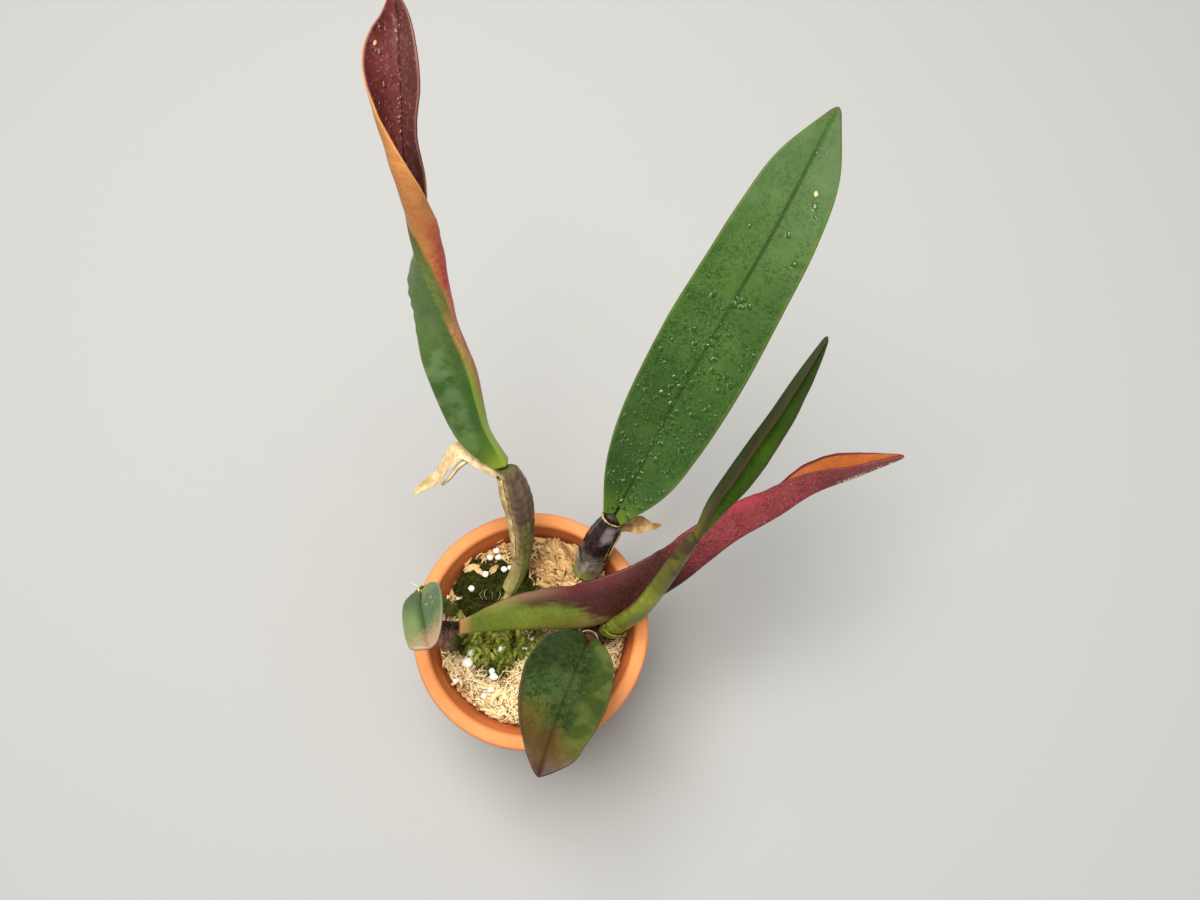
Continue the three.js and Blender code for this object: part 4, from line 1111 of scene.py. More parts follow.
def make_pot():
    collar_foot = POT_HEIGHT - COLLAR_HEIGHT
    collar = RIM_RADIUS - 3
    body_top = collar - 3.2
    lip_top = POT_HEIGHT - LIP_ROUND

    def corner(radius, z, first, last):
        turn = np.radians(np.linspace(first, last, 9))
        return [(radius + LIP_ROUND * math.cos(a), z + LIP_ROUND * math.sin(a)) for a in turn]

    floor_edge = inner_radius(FLOOR_THICKNESS + 4)
    profile = [
        (DRAIN_RADIUS, 0.8), (DRAIN_RADIUS + 0.8, 0), (FOOT_RADIUS - 1.5, 0),
        (FOOT_RADIUS - 0.4, 0.5), (FOOT_RADIUS, 1.5),
        ((FOOT_RADIUS + body_top) / 2 + 0.4, collar_foot / 2), (body_top, collar_foot - 1.2),
        (body_top + 0.3, collar_foot - 0.3), (body_top + 0.8, collar_foot),
        (collar - 1, collar_foot), (collar - 0.3, collar_foot + 0.3), (collar, collar_foot + 1),
        *corner(RIM_RADIUS - LIP_ROUND, lip_top, 0, 90),
        *corner(RIM_RADIUS - LIP_WIDTH + LIP_ROUND, lip_top, 90, 180),
        (inner_radius(SURFACE), SURFACE), (floor_edge, FLOOR_THICKNESS + 4),
        (floor_edge - 1.2, FLOOR_THICKNESS + 1.2), (floor_edge - 4, FLOOR_THICKNESS),
        (DRAIN_RADIUS + 0.8, FLOOR_THICKNESS), (DRAIN_RADIUS, FLOOR_THICKNESS - 0.8),
    ]
    fine = []
    for (r0, z0), (r1, z1) in zip(profile, profile[1:] + profile[:1]):
        pieces = max(1, int(math.hypot(r1 - r0, z1 - z0) / POT_STEP))
        fine += [(r0 + (r1 - r0) * k / pieces, z0 + (z1 - z0) * k / pieces) for k in range(pieces)]
    radius, height = np.array(fine).T
    angles = np.arange(POT_SECTORS) * 2 * math.pi / POT_SECTORS
    ring = np.stack([np.cos(angles), np.sin(angles)], axis=-1)
    inside = (radius < inner_radius(height) + 1.2) & (height > 2)
    wall = 0.12 * np.sin(height * 1.9) + 0.05 * np.sin(height * 4.3)
    wall = np.where((height > 3) & (height < 88), wall, 0)
    grid = np.zeros((len(radius), POT_SECTORS, 3))
    unevenness = 0.1 * np.sin(2 * angles + 0.4) + 0.06 * np.sin(5 * angles + 1.9)
    reach = (radius + wall)[:, None] + unevenness * (height > 3)[:, None]
    grid[..., :2] = ring[None] * reach[..., None]
    grid[..., 2] = height[:, None]
    nick = np.exp(-(((angles - NICK_TURN) / 0.02) ** 2))
    grid[..., 2] -= 0.5 * nick * ((height > 91) & (radius < RIM_RADIUS - 4))[:, None]
    shape = Shape("inside", "damp")
    rows = len(radius)
    faces = []
    k = np.arange(POT_SECTORS)
    step = (k + 1) % POT_SECTORS
    for row in range(rows):
        here, there = row * POT_SECTORS, (row + 1) % rows * POT_SECTORS
        faces += np.stack([here + k, here + step, there + step, there + k], axis=1).tolist()
    # How far down the inner wall is, towards the fill.
    damp = inside * np.clip((86 - height) / 5, 0, 1)
    shape.add(grid, faces, inside=np.repeat(inside, POT_SECTORS),
              damp=np.repeat(damp, POT_SECTORS))
    shape.piece("clay_pot", [clay_finish()], ["pot"])


# The fill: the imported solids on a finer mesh, with moss and fibres set on them
def remeshed(node, voxel):
    """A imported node's points and faces on an even fine mesh, in mm round the pot's axis."""
    trial = bpy.data.objects.new("trial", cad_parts[node].data.copy())
    bpy.context.scene.collection.objects.link(trial)
    even = trial.modifiers.new("even", "REMESH")
    even.mode = "VOXEL"
    even.voxel_size = voxel * MM
    fine = bpy.data.meshes.new_from_object(trial.evaluated_get(bpy.context.evaluated_depsgraph_get()))
    points = np.zeros(len(fine.vertices) * 3)
    normals = np.zeros(len(fine.vertices) * 3)
    fine.vertices.foreach_get("co", points)
    fine.vertices.foreach_get("normal", normals)
    faces = [list(face.vertices) for face in fine.polygons]
    bpy.data.objects.remove(trial)
    bpy.data.meshes.remove(fine)
    return points.reshape(-1, 3) / MM - POT_AXIS, normals.reshape(-1, 3), faces


# Where the stems stand in the fill: x, y and the radius left free
STEM_FEET = [(-11, 18, 5), (22.5, 23.3, 6), (-34.5, -5.5, 5), (-35.5, 9, 4), (22.5, -8, 5),
             (29, -1.5, 6)]


def clear_of_stems(x, y, room=0.0):
    return all(math.hypot(x - fx, y - fy) > reach + room for fx, fy, reach in STEM_FEET)


def inside_pot(point, room=0.8):
    return math.hypot(point[0], point[1]) < inner_radius(point[2]) - room


# A strand's number of points, and how far out strands turn to follow the wall
STRAND_POINTS = 9
NEAR_WALL = 30


def place_in_circle(draw, reach):
    radius = reach * math.sqrt(draw.uniform(0, 1))
    angle = draw.uniform(0, 2 * math.pi)
    return radius * math.cos(angle), radius * math.sin(angle)


def curled_strand(draw, x, y, length, hump, sway):
    """Points of a strand that lies on the ground, curling as it goes, its ends tucked in."""
    heading = draw.uniform(0, 2 * math.pi)
    if math.hypot(x, y) > NEAR_WALL:
        heading = math.atan2(y, x) + math.pi / 2 + draw.uniform(-0.5, 0.5)
    bend = draw.normal(0, sway)
    points = []
    px = x - length / 2 * math.cos(heading)
    py = y - length / 2 * math.sin(heading)
    step = length / (STRAND_POINTS - 1)
    for k in range(STRAND_POINTS):
        share = k / (STRAND_POINTS - 1)
        lift = hump * math.sin(math.pi * share) - 0.9 * abs(2 * share - 1) ** 3
        lift += draw.normal(0, 0.16)
        points.append([px, py, float(ground_height(px, py)) + lift])
        heading += bend / STRAND_POINTS + draw.normal(0, sway * 0.22)
        px += step * math.cos(heading)
        py += step * math.sin(heading)
    return np.array(points)


def fits(path):
    """Whether a strand stays in the pot and its middle keeps clear of the stems."""
    return all(inside_pot(point) for point in path) and clear_of_stems(*path[len(path) // 2][:2])


# The dry moss: its counts and reach, the raised tan tuft, loose scraps on the living moss (x, y,
# heading, length, width) and two strands stuck to the pot's wall (path, width, tone)
STRANDS = 1450
STRAND_REACH = 42.4
FLAKES = 300
FLAKE_REACH = 41.5
TUFT = {"x": 14, "y": 28, "edge": 24, "strands": 70, "flakes": 110}
SCRAPS = (
    (-30, 32, 1.2, 7, 3.2), (-28, 28, 0.3, 8, 3.4), (-24, 26, -0.6, 8, 3), (-18, 27, 0.8, 6, 2.6),
    (-15, 41.5, 0.6, 6, 3), (-11, 38, 0.2, 7, 2.6), (-6, 39, 0.1, 8, 2.4), (4, 40.5, -0.1, 9, 2.6),
    (-26, -3, 1.4, 4, 1.8), (-5, -2, 0.4, 5, 1.8), (-9, -13, 1.0, 5, 2.2), (-30, 4, 2.0, 4, 1.6),
)
WALL_STRANDS = (
    ([[38.6, 25.2, 86.5], [38.4, 26.4, 87.6], [39.6, 26.6, 88.4], [40.2, 25.2, 88.2]], 0.6, 1.0),
    ([[-38.6, -20.6, 85.2], [-36.4, -24.6, 85], [-33, -28.6, 84], [-28.6, -32, 82.6]], 0.35, 0.0),
)


def make_sphagnum():
    dry = sphagnum_finish("dry_sphagnum", paint(250, 230, 180), paint(220, 176, 118),
                          paint(160, 110, 62), seed=2.0)
    points, normals, faces = remeshed("medium", voxel=0.9)
    top = np.clip((points[:, 2] - 76) / 3, 0, 1)
    uneven = 0.5 * lumps(points, 2.6, 3) + 0.25 * lumps(points, 1.3, 4)
    points = points + normals * (top * uneven)[:, None]
    bed = Shape("tone")
    # The bed's low tone paints it deep: painted shade in the gaps between the strands.
    bed.add(points, faces, tone=np.clip(0.08 + 0.12 * lumps(points, 6, 8), 0, 1))
    bed.piece("sphagnum_bed", [dry], ["medium"])

    draw = np.random.default_rng(77)
    strands = Shape("tone", "across")
    made = 0
    while made < STRANDS:
        x, y = place_in_circle(draw, STRAND_REACH)
        if mat_share(x, y) < 1.02:
            continue
        path = curled_strand(draw, x, y, draw.uniform(4, 13), draw.uniform(0.6, 3.4), 2.2)
        if not fits(path):
            continue
        widths = draw.uniform(0.5, 2.1) * draw.uniform(0.5, 1.3, len(path))
        widths[[0, -1]] *= 0.4
        twist = np.cumsum(draw.normal(0, 0.6, len(path))) + draw.uniform(0, 3)
        # Past x = 26 the tone is raised: painted light where the leaf and shoot above cast shade.
        tone = np.clip(0.66 + 0.24 * lumps(np.array([x, y]), 17, 12) + draw.normal(0, 0.25)
                       - 0.012 * y + 0.3 * (x > 26), 0.02, 1)
        add_strand(strands, path, widths, draw.uniform(0.16, 0.3), twist, tone)
        made += 1
    made = 0
    while made < FLAKES:
        x, y = place_in_circle(draw, FLAKE_REACH)
        size = draw.uniform(4, 9), draw.uniform(1.2, 3.4)
        height = float(ground_height(x, y)) + draw.uniform(0.4, 2.4)
        if (mat_share(x, y) < 1.04 or not inside_pot((x, y, height), 0.5 * size[0])
                or not clear_of_stems(x, y, 1)):
            continue
        tone = np.clip(0.7 + draw.normal(0, 0.35) - 0.012 * y, 0.02, 1)
        add_flake(strands, draw, (x, y, height), draw.uniform(0, 6.3), size,
                  draw.uniform(-0.4, 1.6), tone, draw.normal(0, 0.5))
        made += 1
    for path, wide, tone in WALL_STRANDS:
        add_even_strand(strands, path, 14, (wide, wide), 0.3, 2, tone)
    strands.piece("sphagnum_strands", [dry])

    tan = sphagnum_finish("tan_sphagnum_tuft", paint(232, 194, 134), paint(172, 122, 68),
                          paint(88, 54, 24), seed=9.0)
    tuft = Shape("tone", "across")
    for _ in range(TUFT["strands"]):
        x, y = TUFT["x"] + draw.normal(0, 5.2), TUFT["y"] + draw.normal(0, 5.6)
        path = curled_strand(draw, x, y, draw.uniform(4, 10), draw.uniform(1.4, 6.4), 1.2)
        if not fits(path) or x > TUFT["edge"]:
            continue
        widths = draw.uniform(0.3, 0.9) * draw.uniform(0.6, 1.2, len(path))
        widths[[0, -1]] *= 0.35
        twist = np.cumsum(draw.normal(0, 0.3, len(path))) + draw.normal(0, 0.5)
        add_strand(tuft, path, widths, 0.26, twist, draw.uniform(0, 1))
    for n in range(TUFT["flakes"]):
        share = n / (TUFT["flakes"] - 1)
        x = TUFT["x"] + draw.uniform(-8.5, 7.5)
        y = TUFT["y"] + draw.uniform(-9, 9.5)
        size = draw.uniform(5.5, 10), draw.uniform(2.8, 5.2)
        height = float(ground_height(x, y)) + 0.4 + 4.2 * share
        if x + 0.3 * size[0] > TUFT["edge"] or not inside_pot((x, y, height), 4):
            continue
        fan = math.atan2(y - TUFT["y"] + 14, x - TUFT["x"] - 10) + draw.normal(0, 0.3)
        # Flakes higher in the heap take a higher tone: painted light on its top and painted shade low
        # in it.
        add_flake(tuft, draw, (x, y, height), fan, size, draw.uniform(0, 1.8),
                  0.15 + 0.75 * share * draw.uniform(0.2, 1), draw.normal(0, 0.9))
    for x, y, heading, long, wide in SCRAPS:
        height = float(ground_height(x, y)) + 1.0
        add_flake(tuft, draw, (x, y, height), heading, (long, wide), 0.7, draw.uniform(0.6, 1), 0.2)
    tuft.piece("sphagnum_tuft", [tan])


def add_leaflet(shape, root, way, out, length, wide, tone, finish=0):
    """A tiny pointed moss leaf, closed, with a thick foot."""
    across = np.cross(way, out)
    foot = [root + across * wide / 2, root - across * wide / 2, root + out * wide * 0.35]
    tip = root + way * length + out * length * 0.15
    sides = [[0, 2, 1], [0, 1, 3], [1, 2, 3], [2, 0, 3]]
    shape.add([*foot, tip], sides, finish, tone=tone)


# The living moss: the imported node, its seed, whether it is the back, and its count of shoots
MOSS_MIDDLE = 6
MOSSES = (("moss_back", 31, True, 1500), ("moss_front", 32, False, 1150))
SHOOT_LEAFLETS = 8


def add_moss_shoot(shape, draw, root, tall, tone):
    lean = unit(np.array([draw.normal(0, 0.45), draw.normal(0, 0.45), 1.0]))
    sides = unit(np.cross(lean, [1, 0.2, 0]))
    other = np.cross(lean, sides)
    for n in range(SHOOT_LEAFLETS):
        angle = n * 2.4 + draw.uniform(-0.3, 0.3)
        level = n / SHOOT_LEAFLETS
        way = unit(sides * math.cos(angle) + other * math.sin(angle) + lean * (0.25 + 0.9 * level))
        size = draw.uniform(0.8, 1.25) * (1.15 - 0.5 * level)
        # Leaflets higher on the shoot take a higher tone: painted light on the shoot's top.
        add_leaflet(shape, root + lean * tall * level, way, lean, size, 0.42, tone + 0.3 * level)


def make_living_moss():
    dark = living_moss_finish("living_moss_dark", paint(94, 98, 24), paint(34, 36, 8), 4.0)
    fresh = living_moss_finish("living_moss_fresh", paint(132, 138, 50), paint(44, 52, 14), 6.0)
    for node, seed, back, count in MOSSES:
        draw = np.random.default_rng(seed)
        points, normals, faces = remeshed(node, voxel=0.55)
        top = np.clip((points[:, 2] - 78) / 2, 0, 1)
        uneven = 0.35 * lumps(points, 2.2, seed) + 0.15 * lumps(points, 1.1, seed + 1)
        points = points + normals * (top * uneven)[:, None]
        shape = Shape("tone")
        shape.add(points, faces, tone=np.clip(0.15 + 0.12 * lumps(points, 5, seed + 2), 0, 1))
        made = 0
        while made < count:
            x = MAT["x"] + MAT["wide"] * draw.uniform(-1.1, 1.1)
            y = MAT["y"] + MAT["long"] * draw.uniform(-1.1, 1.1)
            root = np.array([x, y, float(ground_height(x, y)) - 0.2])
            if mat_share(x, y) > 0.99 or (y > MOSS_MIDDLE) != back or not inside_pot(root, 1.5):
                continue
            if not clear_of_stems(x, y, -1.5):
                continue
            add_moss_shoot(shape, draw, root, draw.uniform(0.4, 1.5), draw.uniform(0, 0.6))
            made += 1
        shape.piece(node.replace("moss", "living_moss"), [dark if back else fresh],
                    [node])


# The rhizome, its short branches to the stems and, last, a young tip by the second pseudobulb,
# each as its path and its radii. Then the mossy roots and the moss fingers on them.
RHIZOME = [
    ([[-34, -3.5, 79], [-24, 4, 80], [-8, 6, 81], [10, 5, 80], [29, 0, 79.5]],
     [3.2, 4, 4.2, 4, 3.4]),
    ([[-29, 1, 79], [-32, 5, 79.5], [-35, 9, 79]], [2.6, 2.8, 2.4]),
    ([[-10, 7, 80], [-12, 12, 80.5], [-11, 17, 79]], [3.2, 3.4, 3]),
    ([[12, 6, 80], [17, 14, 80.5], [22, 22, 79]], [3.2, 3.6, 3.4]),
    ([[18, 3, 80], [20, -3, 80], [22, -8, 79]], [2.6, 2.8, 2.4]),
    ([[17.6, 17, 79], [19.4, 19.2, 83.4], [21.4, 21.6, 86.4]], [2, 2.2, 1.4]),
]
RHIZOME_PACE = 1.6
RHIZOME_SIDES = 40
ROOT_COUNT = 8
ROOT_TUFTS = 70
FINGERS = 90
FINGER_LEAFLETS = 26


def part_draw(seed):
    """The same seeded numbers as the part's source draws."""
    state = seed

    def draw(low, high):
        nonlocal state
        state = (state * 1664525 + 1013904223) % 4294967296
        return low + (high - low) * state / 4294967296

    return draw


def root_paths():
    draw = part_draw(19)
    roots = []
    for n in range(ROOT_COUNT):
        x = -27 + 4.3 * n + draw(-0.8, 0.8)
        reach = draw(15, 21)
        bend = draw(-3, 3)
        path = [[x, 4, 79.5]]
        for share, lift in ((0.4, 1.4), (0.75, 1.2), (1, -2.6)):
            px = x + bend * share
            py = 4 - reach * share
            path.append([px, py, float(ground_height(px, py)) + lift * draw(0.8, 1.1)])
        roots.append(path)
    return roots


def make_rhizome():
    fresh = living_moss_finish("root_moss", paint(192, 196, 88), paint(94, 104, 32), 12.0)
    shape = Shape("run", "turn", "tone")
    draw = np.random.default_rng(55)

    def creeping(t, angles, length):
        rings = 0.07 * np.sin(t * length / 1.1)
        return 1 + rings + 0.06 * np.sin(5 * angles + 3 * t) + 0.04 * np.sin(9 * angles + 7 * t)

    for path, radius in RHIZOME:
        stem = {"path": path, "radius": radius, "flat": 0.85, "broad": [0, 0, 1]}
        add_stem(shape, stem, int(Path(path).length * RHIZOME_PACE), RHIZOME_SIDES, creeping)

    def root_skin(t, angles, length):
        flow = np.stack([np.cos(angles) * 2, np.sin(angles) * 2, t * length], axis=-1)
        return 1 + 0.16 * lumps(flow, 2.4, 5)

    walks = []
    for path in root_paths():
        stem = {"path": path, "radius": [1.7, 1.6, 1.4, 1], "broad": [1, 0, 0]}
        add_stem(shape, stem, stations=44, around=18, relief=root_skin)
        walk = Path(path)
        walks.append(walk)
        for _ in range(ROOT_TUFTS):
            t = np.array([draw.uniform(0.2, 0.95)])
            along = walk.along(t)[0]
            place = walk.at(t)[0]
            angle = draw.uniform(-1.4, 1.4)
            side = unit(np.cross(along, [0, 0, 1]))
            out = side * math.sin(angle) + np.cross(side, along) * math.cos(angle)
            root = place + out * 1.25
            for _ in range(3):
                way = unit(out * 0.7 + along * draw.normal(0, 0.6) + side * draw.normal(0, 0.6))
                add_leaflet(shape, root, way, out, draw.uniform(1.2, 2.2), 0.9, draw.uniform(0, 1), 1)
    for _ in range(FINGERS):
        walk = walks[int(draw.integers(len(walks)))]
        start = walk.at(draw.uniform(0.25, 0.98)) + [draw.normal(0, 1.4), draw.normal(0, 1), 0.8]
        heading = draw.normal(-1.57, 0.65)
        way = np.array([math.cos(heading), math.sin(heading), draw.uniform(-0.2, 0.3)])
        long = draw.uniform(3, 6.5)
        path = [start, start + way * long * 0.5 + [0, 0, 0.6], start + way * long]
        if not inside_pot(path[-1], 2):
            continue
        tone = draw.uniform(0.1, 1)
        finger = {"path": path, "radius": [0.8, 1, 0.6]}
        add_stem(shape, finger, stations=10, around=8, finish=1, tone=tone)
        for _ in range(FINGER_LEAFLETS):
            place = Path(path).at(draw.uniform(0.05, 1))
            out = unit(np.array([draw.normal(0, 0.8), draw.normal(0, 0.8), 0.8]))
            add_leaflet(shape, place + out * 0.55, unit(out * 0.8 + way), out,
                        draw.uniform(0.9, 1.8), 0.7, tone + draw.normal(0, 0.15), 1)
    shape.piece("rhizome_and_roots", [rhizome_finish(), fresh], ["rhizome"])


# Fine pale hairs that curl up by the first two pseudobulbs, and last the curled tip of the fifth's
# sheath: foot, top and end, and the width
HAIRS = (
    (([-22.4, 13.4, 83], [-23.6, 15.4, 85.8], [-22.6, 17.4, 84.2]), 0.15),
    (([-20.6, 13.2, 83], [-21.6, 16, 85.6], [-20.4, 18.6, 84.2]), 0.15),
    (([-18.4, 13.8, 83], [-18, 16, 85.6], [-19, 17.2, 84.4]), 0.13),
    (([-15.8, 13, 83], [-14.4, 15, 85.2], [-14.8, 17.4, 84]), 0.15),
    (([19.6, 16.4, 83], [17.4, 19.4, 87.4], [18.8, 23, 84.6]), 0.2),
    (([-44.8, 12.6, 119.6], [-45.6, 14.8, 121.2], [-47.8, 15.6, 122.6]), 1),
)


def make_hairs():
    pale = sphagnum_finish("pale_hairs", paint(250, 240, 206), paint(226, 208, 160),
                           paint(190, 160, 110), seed=21.0)
    shape = Shape("tone")
    for path, wide in HAIRS:
        add_even_strand(shape, path, 16, (wide, 0.4 * wide), 0.14, 0, 0.7)
    shape.piece("pale_hairs", [pale])


# Perlite grains: x, y, radius
GRAINS = (
    (-17, 36, 1.45), (-19.7, 32.9, 1.5), (-16, 32.9, 1.45), (-13.2, 27.3, 1.4), (-10.3, 28, 1.3),
    (-21.5, 24.9, 1.45), (-27.7, 18.4, 1.5), (-26.6, -9.9, 1.85), (-28.2, -14.5, 2.5),
    (-13.9, -8.5, 1.45), (-17.4, -18.2, 1.4), (-16.6, -20.6, 1.8), (-17.6, -26.2, 1.4),
    (-20.7, -28.8, 1.3), (0.2, -4.3, 1.2), (-3.2, -7.7, 1.3), (-33.5, -22.5, 1.1), (9.8, 40.2, 1.3),
    (21, -22, 1.4),
)
BACK_GRAIN_LIFT = 1.5
FRONT_GRAIN_LIFT = 2.9


def make_perlite():
    ball = bpy.data.meshes.new("ball")
    work = bmesh.new()
    bmesh.ops.create_icosphere(work, subdivisions=3, radius=1)
    work.to_mesh(ball)
    work.free()
    points = np.array([vertex.co for vertex in ball.vertices])
    faces = [list(face.vertices) for face in ball.polygons]
    shape = Shape()
    for n, (x, y, radius) in enumerate(GRAINS):
        uneven = 1 + 0.1 * lumps(points, 1.1, 60 + n) + 0.04 * lumps(points, 0.4, 90 + n)
        size = radius * np.array([1, 0.92, 0.85])
        lift = BACK_GRAIN_LIFT if y > MOSS_MIDDLE else FRONT_GRAIN_LIFT
        centre = [x, y, float(ground_height(x, y)) + lift]
        shape.add(points * uneven[:, None] * size + centre, faces)
    shape.piece("perlite_grains", [perlite_finish()])


# Pseudobulbs and the shoot: their rings of points to the millimetre, and the points round a ring
STEM_PACE = 2.2
STEM_SIDES = 96


def ribbed(depth, count, joints):
    """Fine ribs and rings, swollen at each joint, which is a place along the stem and a height."""
    def relief(t, angles, length):
        rib = 0.6 * np.cos(count * angles + 2.2 * t) + 0.4 * np.cos((count + 5) * angles - 3.1 * t + 1)
        factor = 1 + depth * rib + 0.012 * np.sin(t * length / 0.7 + 2 * np.sin(3 * angles))
        for joint, swell in joints:
            near = (t - joint) * length
            factor = factor + swell * np.exp(-((near / 0.9) ** 2))
            factor = factor - 0.6 * swell * np.exp(-(((near - 1.3) / 0.5) ** 2))
        return factor
    return relief


def make_stems():
    stems = (
        ("pseudobulb_1", BULB_1, bulb_1_finish(), "bulb_brown", ribbed(0.034, 9, [(0.3, 0.02)])),
        ("pseudobulb_2", BULB_2, bulb_2_finish(), "bulb_purple", ribbed(0.03, 8, [(0.93, 0.05)])),
        ("pseudobulb_4", BULB_4, bulb_4_finish(), "bulb_purple",
         ribbed(0.045, 9, [(0.84, 0.07), (0.5, 0.04)])),
        ("pseudobulb_5", BULB_5, bulb_green_finish("bulb_5_green", paint(150, 142, 44)),
         "bulb_green", ribbed(0.03, 7, [(0.8, 0.06)])),
        ("pseudobulb_6", BULB_6, bulb_green_finish("bulb_6_green", paint(66, 48, 22)),
         "bulb_green", ribbed(0.03, 7, [(0.8, 0.06)])),
        ("shoot_3", SHOOT_3, shoot_3_finish(), "shoot",
         ribbed(0.018, 6, [(0.3, 0.03), (0.62, 0.03), (0.97, 0.05)])),
    )
    for node, stem, finish, slot, relief in stems:
        shape = Shape("run", "turn")
        stations = int(Path(stem["path"]).length * STEM_PACE)
        add_stem(shape, stem, stations, STEM_SIDES, relief)
        shape.piece(node + "_ribbed", [finish], [node])


# Sheaths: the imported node, the stem, where it starts and ends along it, its first and last turn
# in degrees, how far it flares, how deep it is torn, the slot and the finish
SHEATHS = (
    ("sheath_1_strip", BULB_1, (0.32, 0.97), (165, 235), [0, 0, 0.3], 0.05,
     "papery_sheath", "strip"),
    ("sheath_2_base", BULB_2, (0.19, 0.57), (115, 425), [0, 0.05, 0.02], 0.16,
     "green_bract", "bloomed"),
    ("sheath_2_ring", BULB_2, (0.94, 0.985), (100, 420), [0, 0.1, 0.4], 0.045,
     "papery_sheath", "strip"),
    ("sheath_2_strip", BULB_2, (0.55, 0.86), (-36, 34), [0.1, 0.1, 0.5], 0.09,
     "papery_sheath", "strip"),
    ("scale_3", SHOOT_3, (0.05, 0.15), (100, 440), [0.2, 0.6, 0.4], 0.01,
     "purple_scale", "purple"),
    ("bract_3", SHOOT_3, (0.17, 0.25), (170, 400), [0.1, 0.2, 0.2], 0.03,
     "green_bract", "green"),
    ("sheath_6", BULB_6, (0.82, 0.97), (300, 600), [0, 0.2, 0.6], 0.03,
     "papery_sheath", "pink"),
    ("sheath_5", BULB_5, (0.7, 0.97), (20, 200), [0, 0.3, 0.8], 0.08,
     "papery_sheath", "yellow"),
)
FIRST_SHEATH_SEED = 51
TORN_STRIP = [[-23.5, 64, 141.5], [-27.5, 60.8, 141], [-31, 57.2, 138], [-34.8, 54.8, 135]]
RIBBON_1 = {
    "midrib": [[-11.4, 60.6, 135], [-16, 63.5, 138.4], [-21.8, 67, 142], [-27.5, 67.5, 143],
               [-31.4, 63.2, 140], [-35.1, 58.3, 136], [-39.2, 56.4, 133], [-44.2, 54.6, 130],
               [-48, 52.2, 127]],
    "right": [3.8, 4.8, 4.8, 4, 3.6, 3.6, 3, 2, 0.6],
    "left": [3.8, 4.8, 5, 4.4, 4, 3.8, 3, 2, 0.6],
    "roll": [20, 0, -20, -10, 20, 30, 10, -10, 0],
    "fold": [10, 12, 12, 10, 8, 10, 12, 10, 10],
    "curl_right": [20, 30, 30, 40, 30, 20, 30, 30, 10],
    "curl_left": [20, 30, 40, 30, 20, 30, 30, 20, 10],
    "thick": [0.5, 0.36],
}
FLAG_2 = {
    "midrib": [[38.6, 41.8, 113], [44, 41.8, 115.4], [50, 41.2, 117.5], [57, 41.1, 118.5]],
    "right": [2.2, 4.2, 4, 3.2, 2.4, 0.5],
    "left": [2.6, 4.2, 3.4, 4, 1.4, 0.5],
    "roll": [0, 24, -14, 30, 10],
    "fold": [10, 30, 5, 24, 5],
    "curl_right": [20, 60, -20, 50, 10],
    "curl_left": [20, -30, 50, 10, 30],
    "thick": [0.5, 0.36],
}


def make_sheaths():
    finishes = {
        "strip": paper_finish("papery_tan", paint(226, 202, 150), paint(186, 152, 98), 1.0),
        "bloomed": bloomed_finish(),
        "purple": paper_finish("purple_scale", paint(72, 42, 40), paint(46, 24, 26), 3.0, 0.5),
        "green": paper_finish("green_bract", paint(140, 146, 58), paint(104, 112, 36), 4.0, 0.5),
        "pink": paper_finish("papery_pink", paint(214, 176, 158), paint(164, 118, 96), 5.0),
        "yellow": paper_finish("papery_yellow", paint(208, 186, 96), paint(156, 146, 62), 6.0),
    }
    for seed, (node, *sheath, slot, finish) in enumerate(SHEATHS, FIRST_SHEATH_SEED):
        shape = Shape("run")
        add_sheath(shape, *sheath, seed)
        shape.piece(node + "_wrap", [finishes[finish]], [node])
    cream = paper_finish("papery_cream", paint(226, 202, 156), paint(194, 164, 118), 8.0)
    brown = paper_finish("papery_brown", paint(226, 188, 132), paint(172, 122, 72), 9.0)
    ribbon = Shape()
    Blade(RIBBON_1, stations=90, wave=0.8, seed=14).fill(ribbon)
    add_even_strand(ribbon, TORN_STRIP, 18, (2.6, 1.1), 0.4, 0.5, 0)
    ribbon.piece("sheath_1_ribbon_paper", [cream], ["sheath_1_ribbon"])
    flag = Shape()
    Blade(FLAG_2, stations=70, wave=0.9, seed=15).fill(flag)
    flag.piece("sheath_2_flag_paper", [brown], ["sheath_2_flag"])


# Leaves
FIRST_LEAF_SEED = 11
FIRST_DROP_SEED = 51


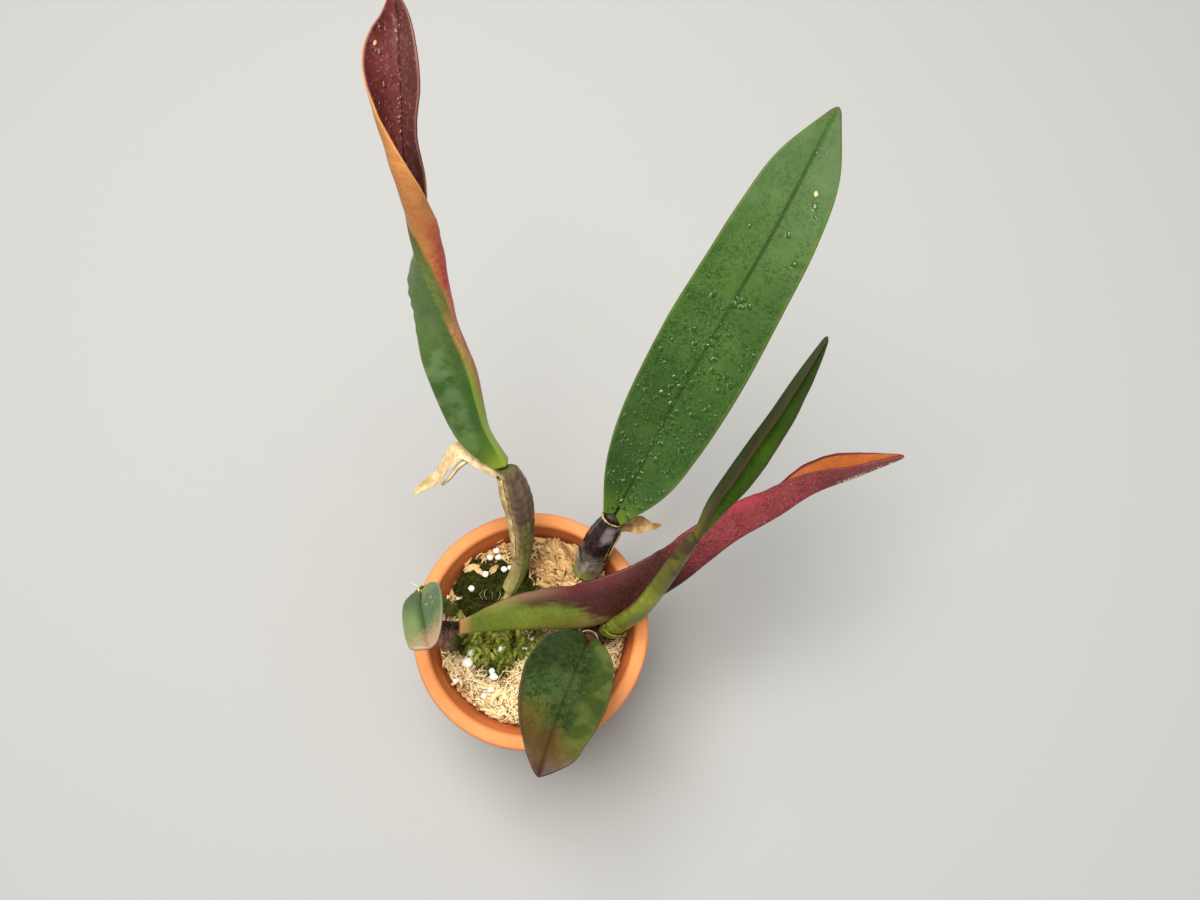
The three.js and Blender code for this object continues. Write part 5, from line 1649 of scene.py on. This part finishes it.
def make_leaves():
    leaves = (
        ("leaf_1", LEAF_1, leaf_1_finish(), "leaf_red", 190, 0.2),
        ("leaf_2", LEAF_2, leaf_2_finish(), "leaf_green", 190, 0.12),
        ("leaf_3", LEAF_3, leaf_3_finish(), "leaf_green", 120, 0.1),
        ("leaf_4", LEAF_4, leaf_4_finish(), "leaf_red", 200, 0.2),
        ("leaf_5", LEAF_5, leaf_5_finish(), "leaf_green", 90, 0.15),
        ("leaf_6", LEAF_6, leaf_6_finish(), "leaf_green", 110, 0.18),
    )
    # Water drops: their finish, their count, the skin they lie on, where along and across the
    # leaf they are likely, and the largest radius
    drops = {
        "leaf_5": (wet_finish("wet_grey_green", paint(104, 124, 92), paint(236, 242, 232)),
                   7, 1, lambda t, s: 3.0 * (t < 0.5 and s < -0.2), 0.8),
        "leaf_1": (wet_finish("wet_maroon", paint(96, 46, 42), paint(214, 168, 156)),
                   190, 1, lambda t, s: t > 0.62, 0.9),
        "leaf_2": (wet_finish("wet_green", paint(48, 78, 28), paint(186, 208, 164)),
                   430, 1, lambda t, s: 1.05 - t if t < 0.6 else 0.05, 1.35),
        "leaf_3": (wet_finish("wet_light_green", paint(84, 126, 26), paint(170, 196, 110)),
                   14, 1, lambda t, s: s > 0, 0.6),
        "leaf_4": (wet_finish("wet_crimson", paint(118, 48, 52), paint(206, 160, 158)),
                   80, -1, lambda t, s: t > 0.5 and s > 0.1, 0.42),
    }
    for n, (node, leaf, finish, slot, stations, wave) in enumerate(leaves):
        shape = Shape(*LEAF_MARKS)
        blade = Blade(leaf, stations, wave, FIRST_LEAF_SEED + n)
        blade.fill(shape)
        finishes = [finish]
        if node in drops:
            wet, count, skin, likely, largest = drops[node]
            add_drops(shape, blade, count, skin, FIRST_DROP_SEED + n, likely, largest)
            finishes.append(wet)
        shape.piece(node + "_blade", finishes, [node])


make_pot()
make_sphagnum()
make_living_moss()
make_rhizome()
make_perlite()
make_hairs()
make_stems()
make_sheaths()
make_leaves()


# The stage: a pale floor, a camera at the photograph's angle, and soft light. The photograph's
# focal length and width are in pixels, and each lamp has its place, size, power and colour.
CAMERA_PLACE = [30.6, -38.3, 538]
CAMERA_TILT = 15
FOCAL_LENGTH = 1000
PHOTO_WIDTH = 1200
LAMPS = (
    ("key", (-0.22, 0.2, 1.3), 0.75, 25, (1, 0.985, 0.95)),
    ("fill", (0.8, -0.5, 1.1), 1.2, 4, (0.96, 0.98, 1)),
)
LAMP_AIM = [0, 0, 0.12]


def make_stage():
    floor = bpy.data.meshes.new("floor")
    half = 3
    floor.from_pydata([(-half, -half, 0), (half, -half, 0), (half, half, 0), (-half, half, 0)], [],
                      [(0, 1, 2, 3)])
    ground = bpy.data.objects.new("floor", floor)
    bpy.context.scene.collection.objects.link(ground)
    plain = Finish("pale_floor", {"Base Color": (0.43, 0.43, 0.42, 1), "Roughness": 0.95})
    floor.materials.append(plain.material)

    lens = bpy.data.cameras.new("camera")
    lens.sensor_width = 36
    lens.lens = lens.sensor_width * FOCAL_LENGTH / PHOTO_WIDTH
    camera = bpy.data.objects.new("camera", lens)
    camera.location = to_frame(CAMERA_PLACE)
    camera.rotation_euler = (math.radians(CAMERA_TILT), 0, 0)
    bpy.context.scene.collection.objects.link(camera)
    bpy.context.scene.camera = camera

    for name, place, size, watts, colour in LAMPS:
        lamp = bpy.data.lights.new(name, "AREA")
        lamp.size = size
        lamp.energy = watts
        lamp.color = colour
        hung = bpy.data.objects.new(name, lamp)
        hung.location = place
        toward = -np.array(place) + LAMP_AIM
        hung.rotation_euler = (
            math.atan2(math.hypot(toward[0], toward[1]), -toward[2]), 0,
            math.atan2(toward[1], toward[0]) - math.pi / 2)
        bpy.context.scene.collection.objects.link(hung)

    world = bpy.data.worlds.new("room")
    world.use_nodes = True
    sky = world.node_tree.nodes["Background"]
    sky.inputs["Color"].default_value = (1, 0.98, 0.92, 1)
    sky.inputs["Strength"].default_value = 0.3
    bpy.context.scene.world = world
    bpy.context.scene.view_settings.view_transform = "Standard"


make_stage()
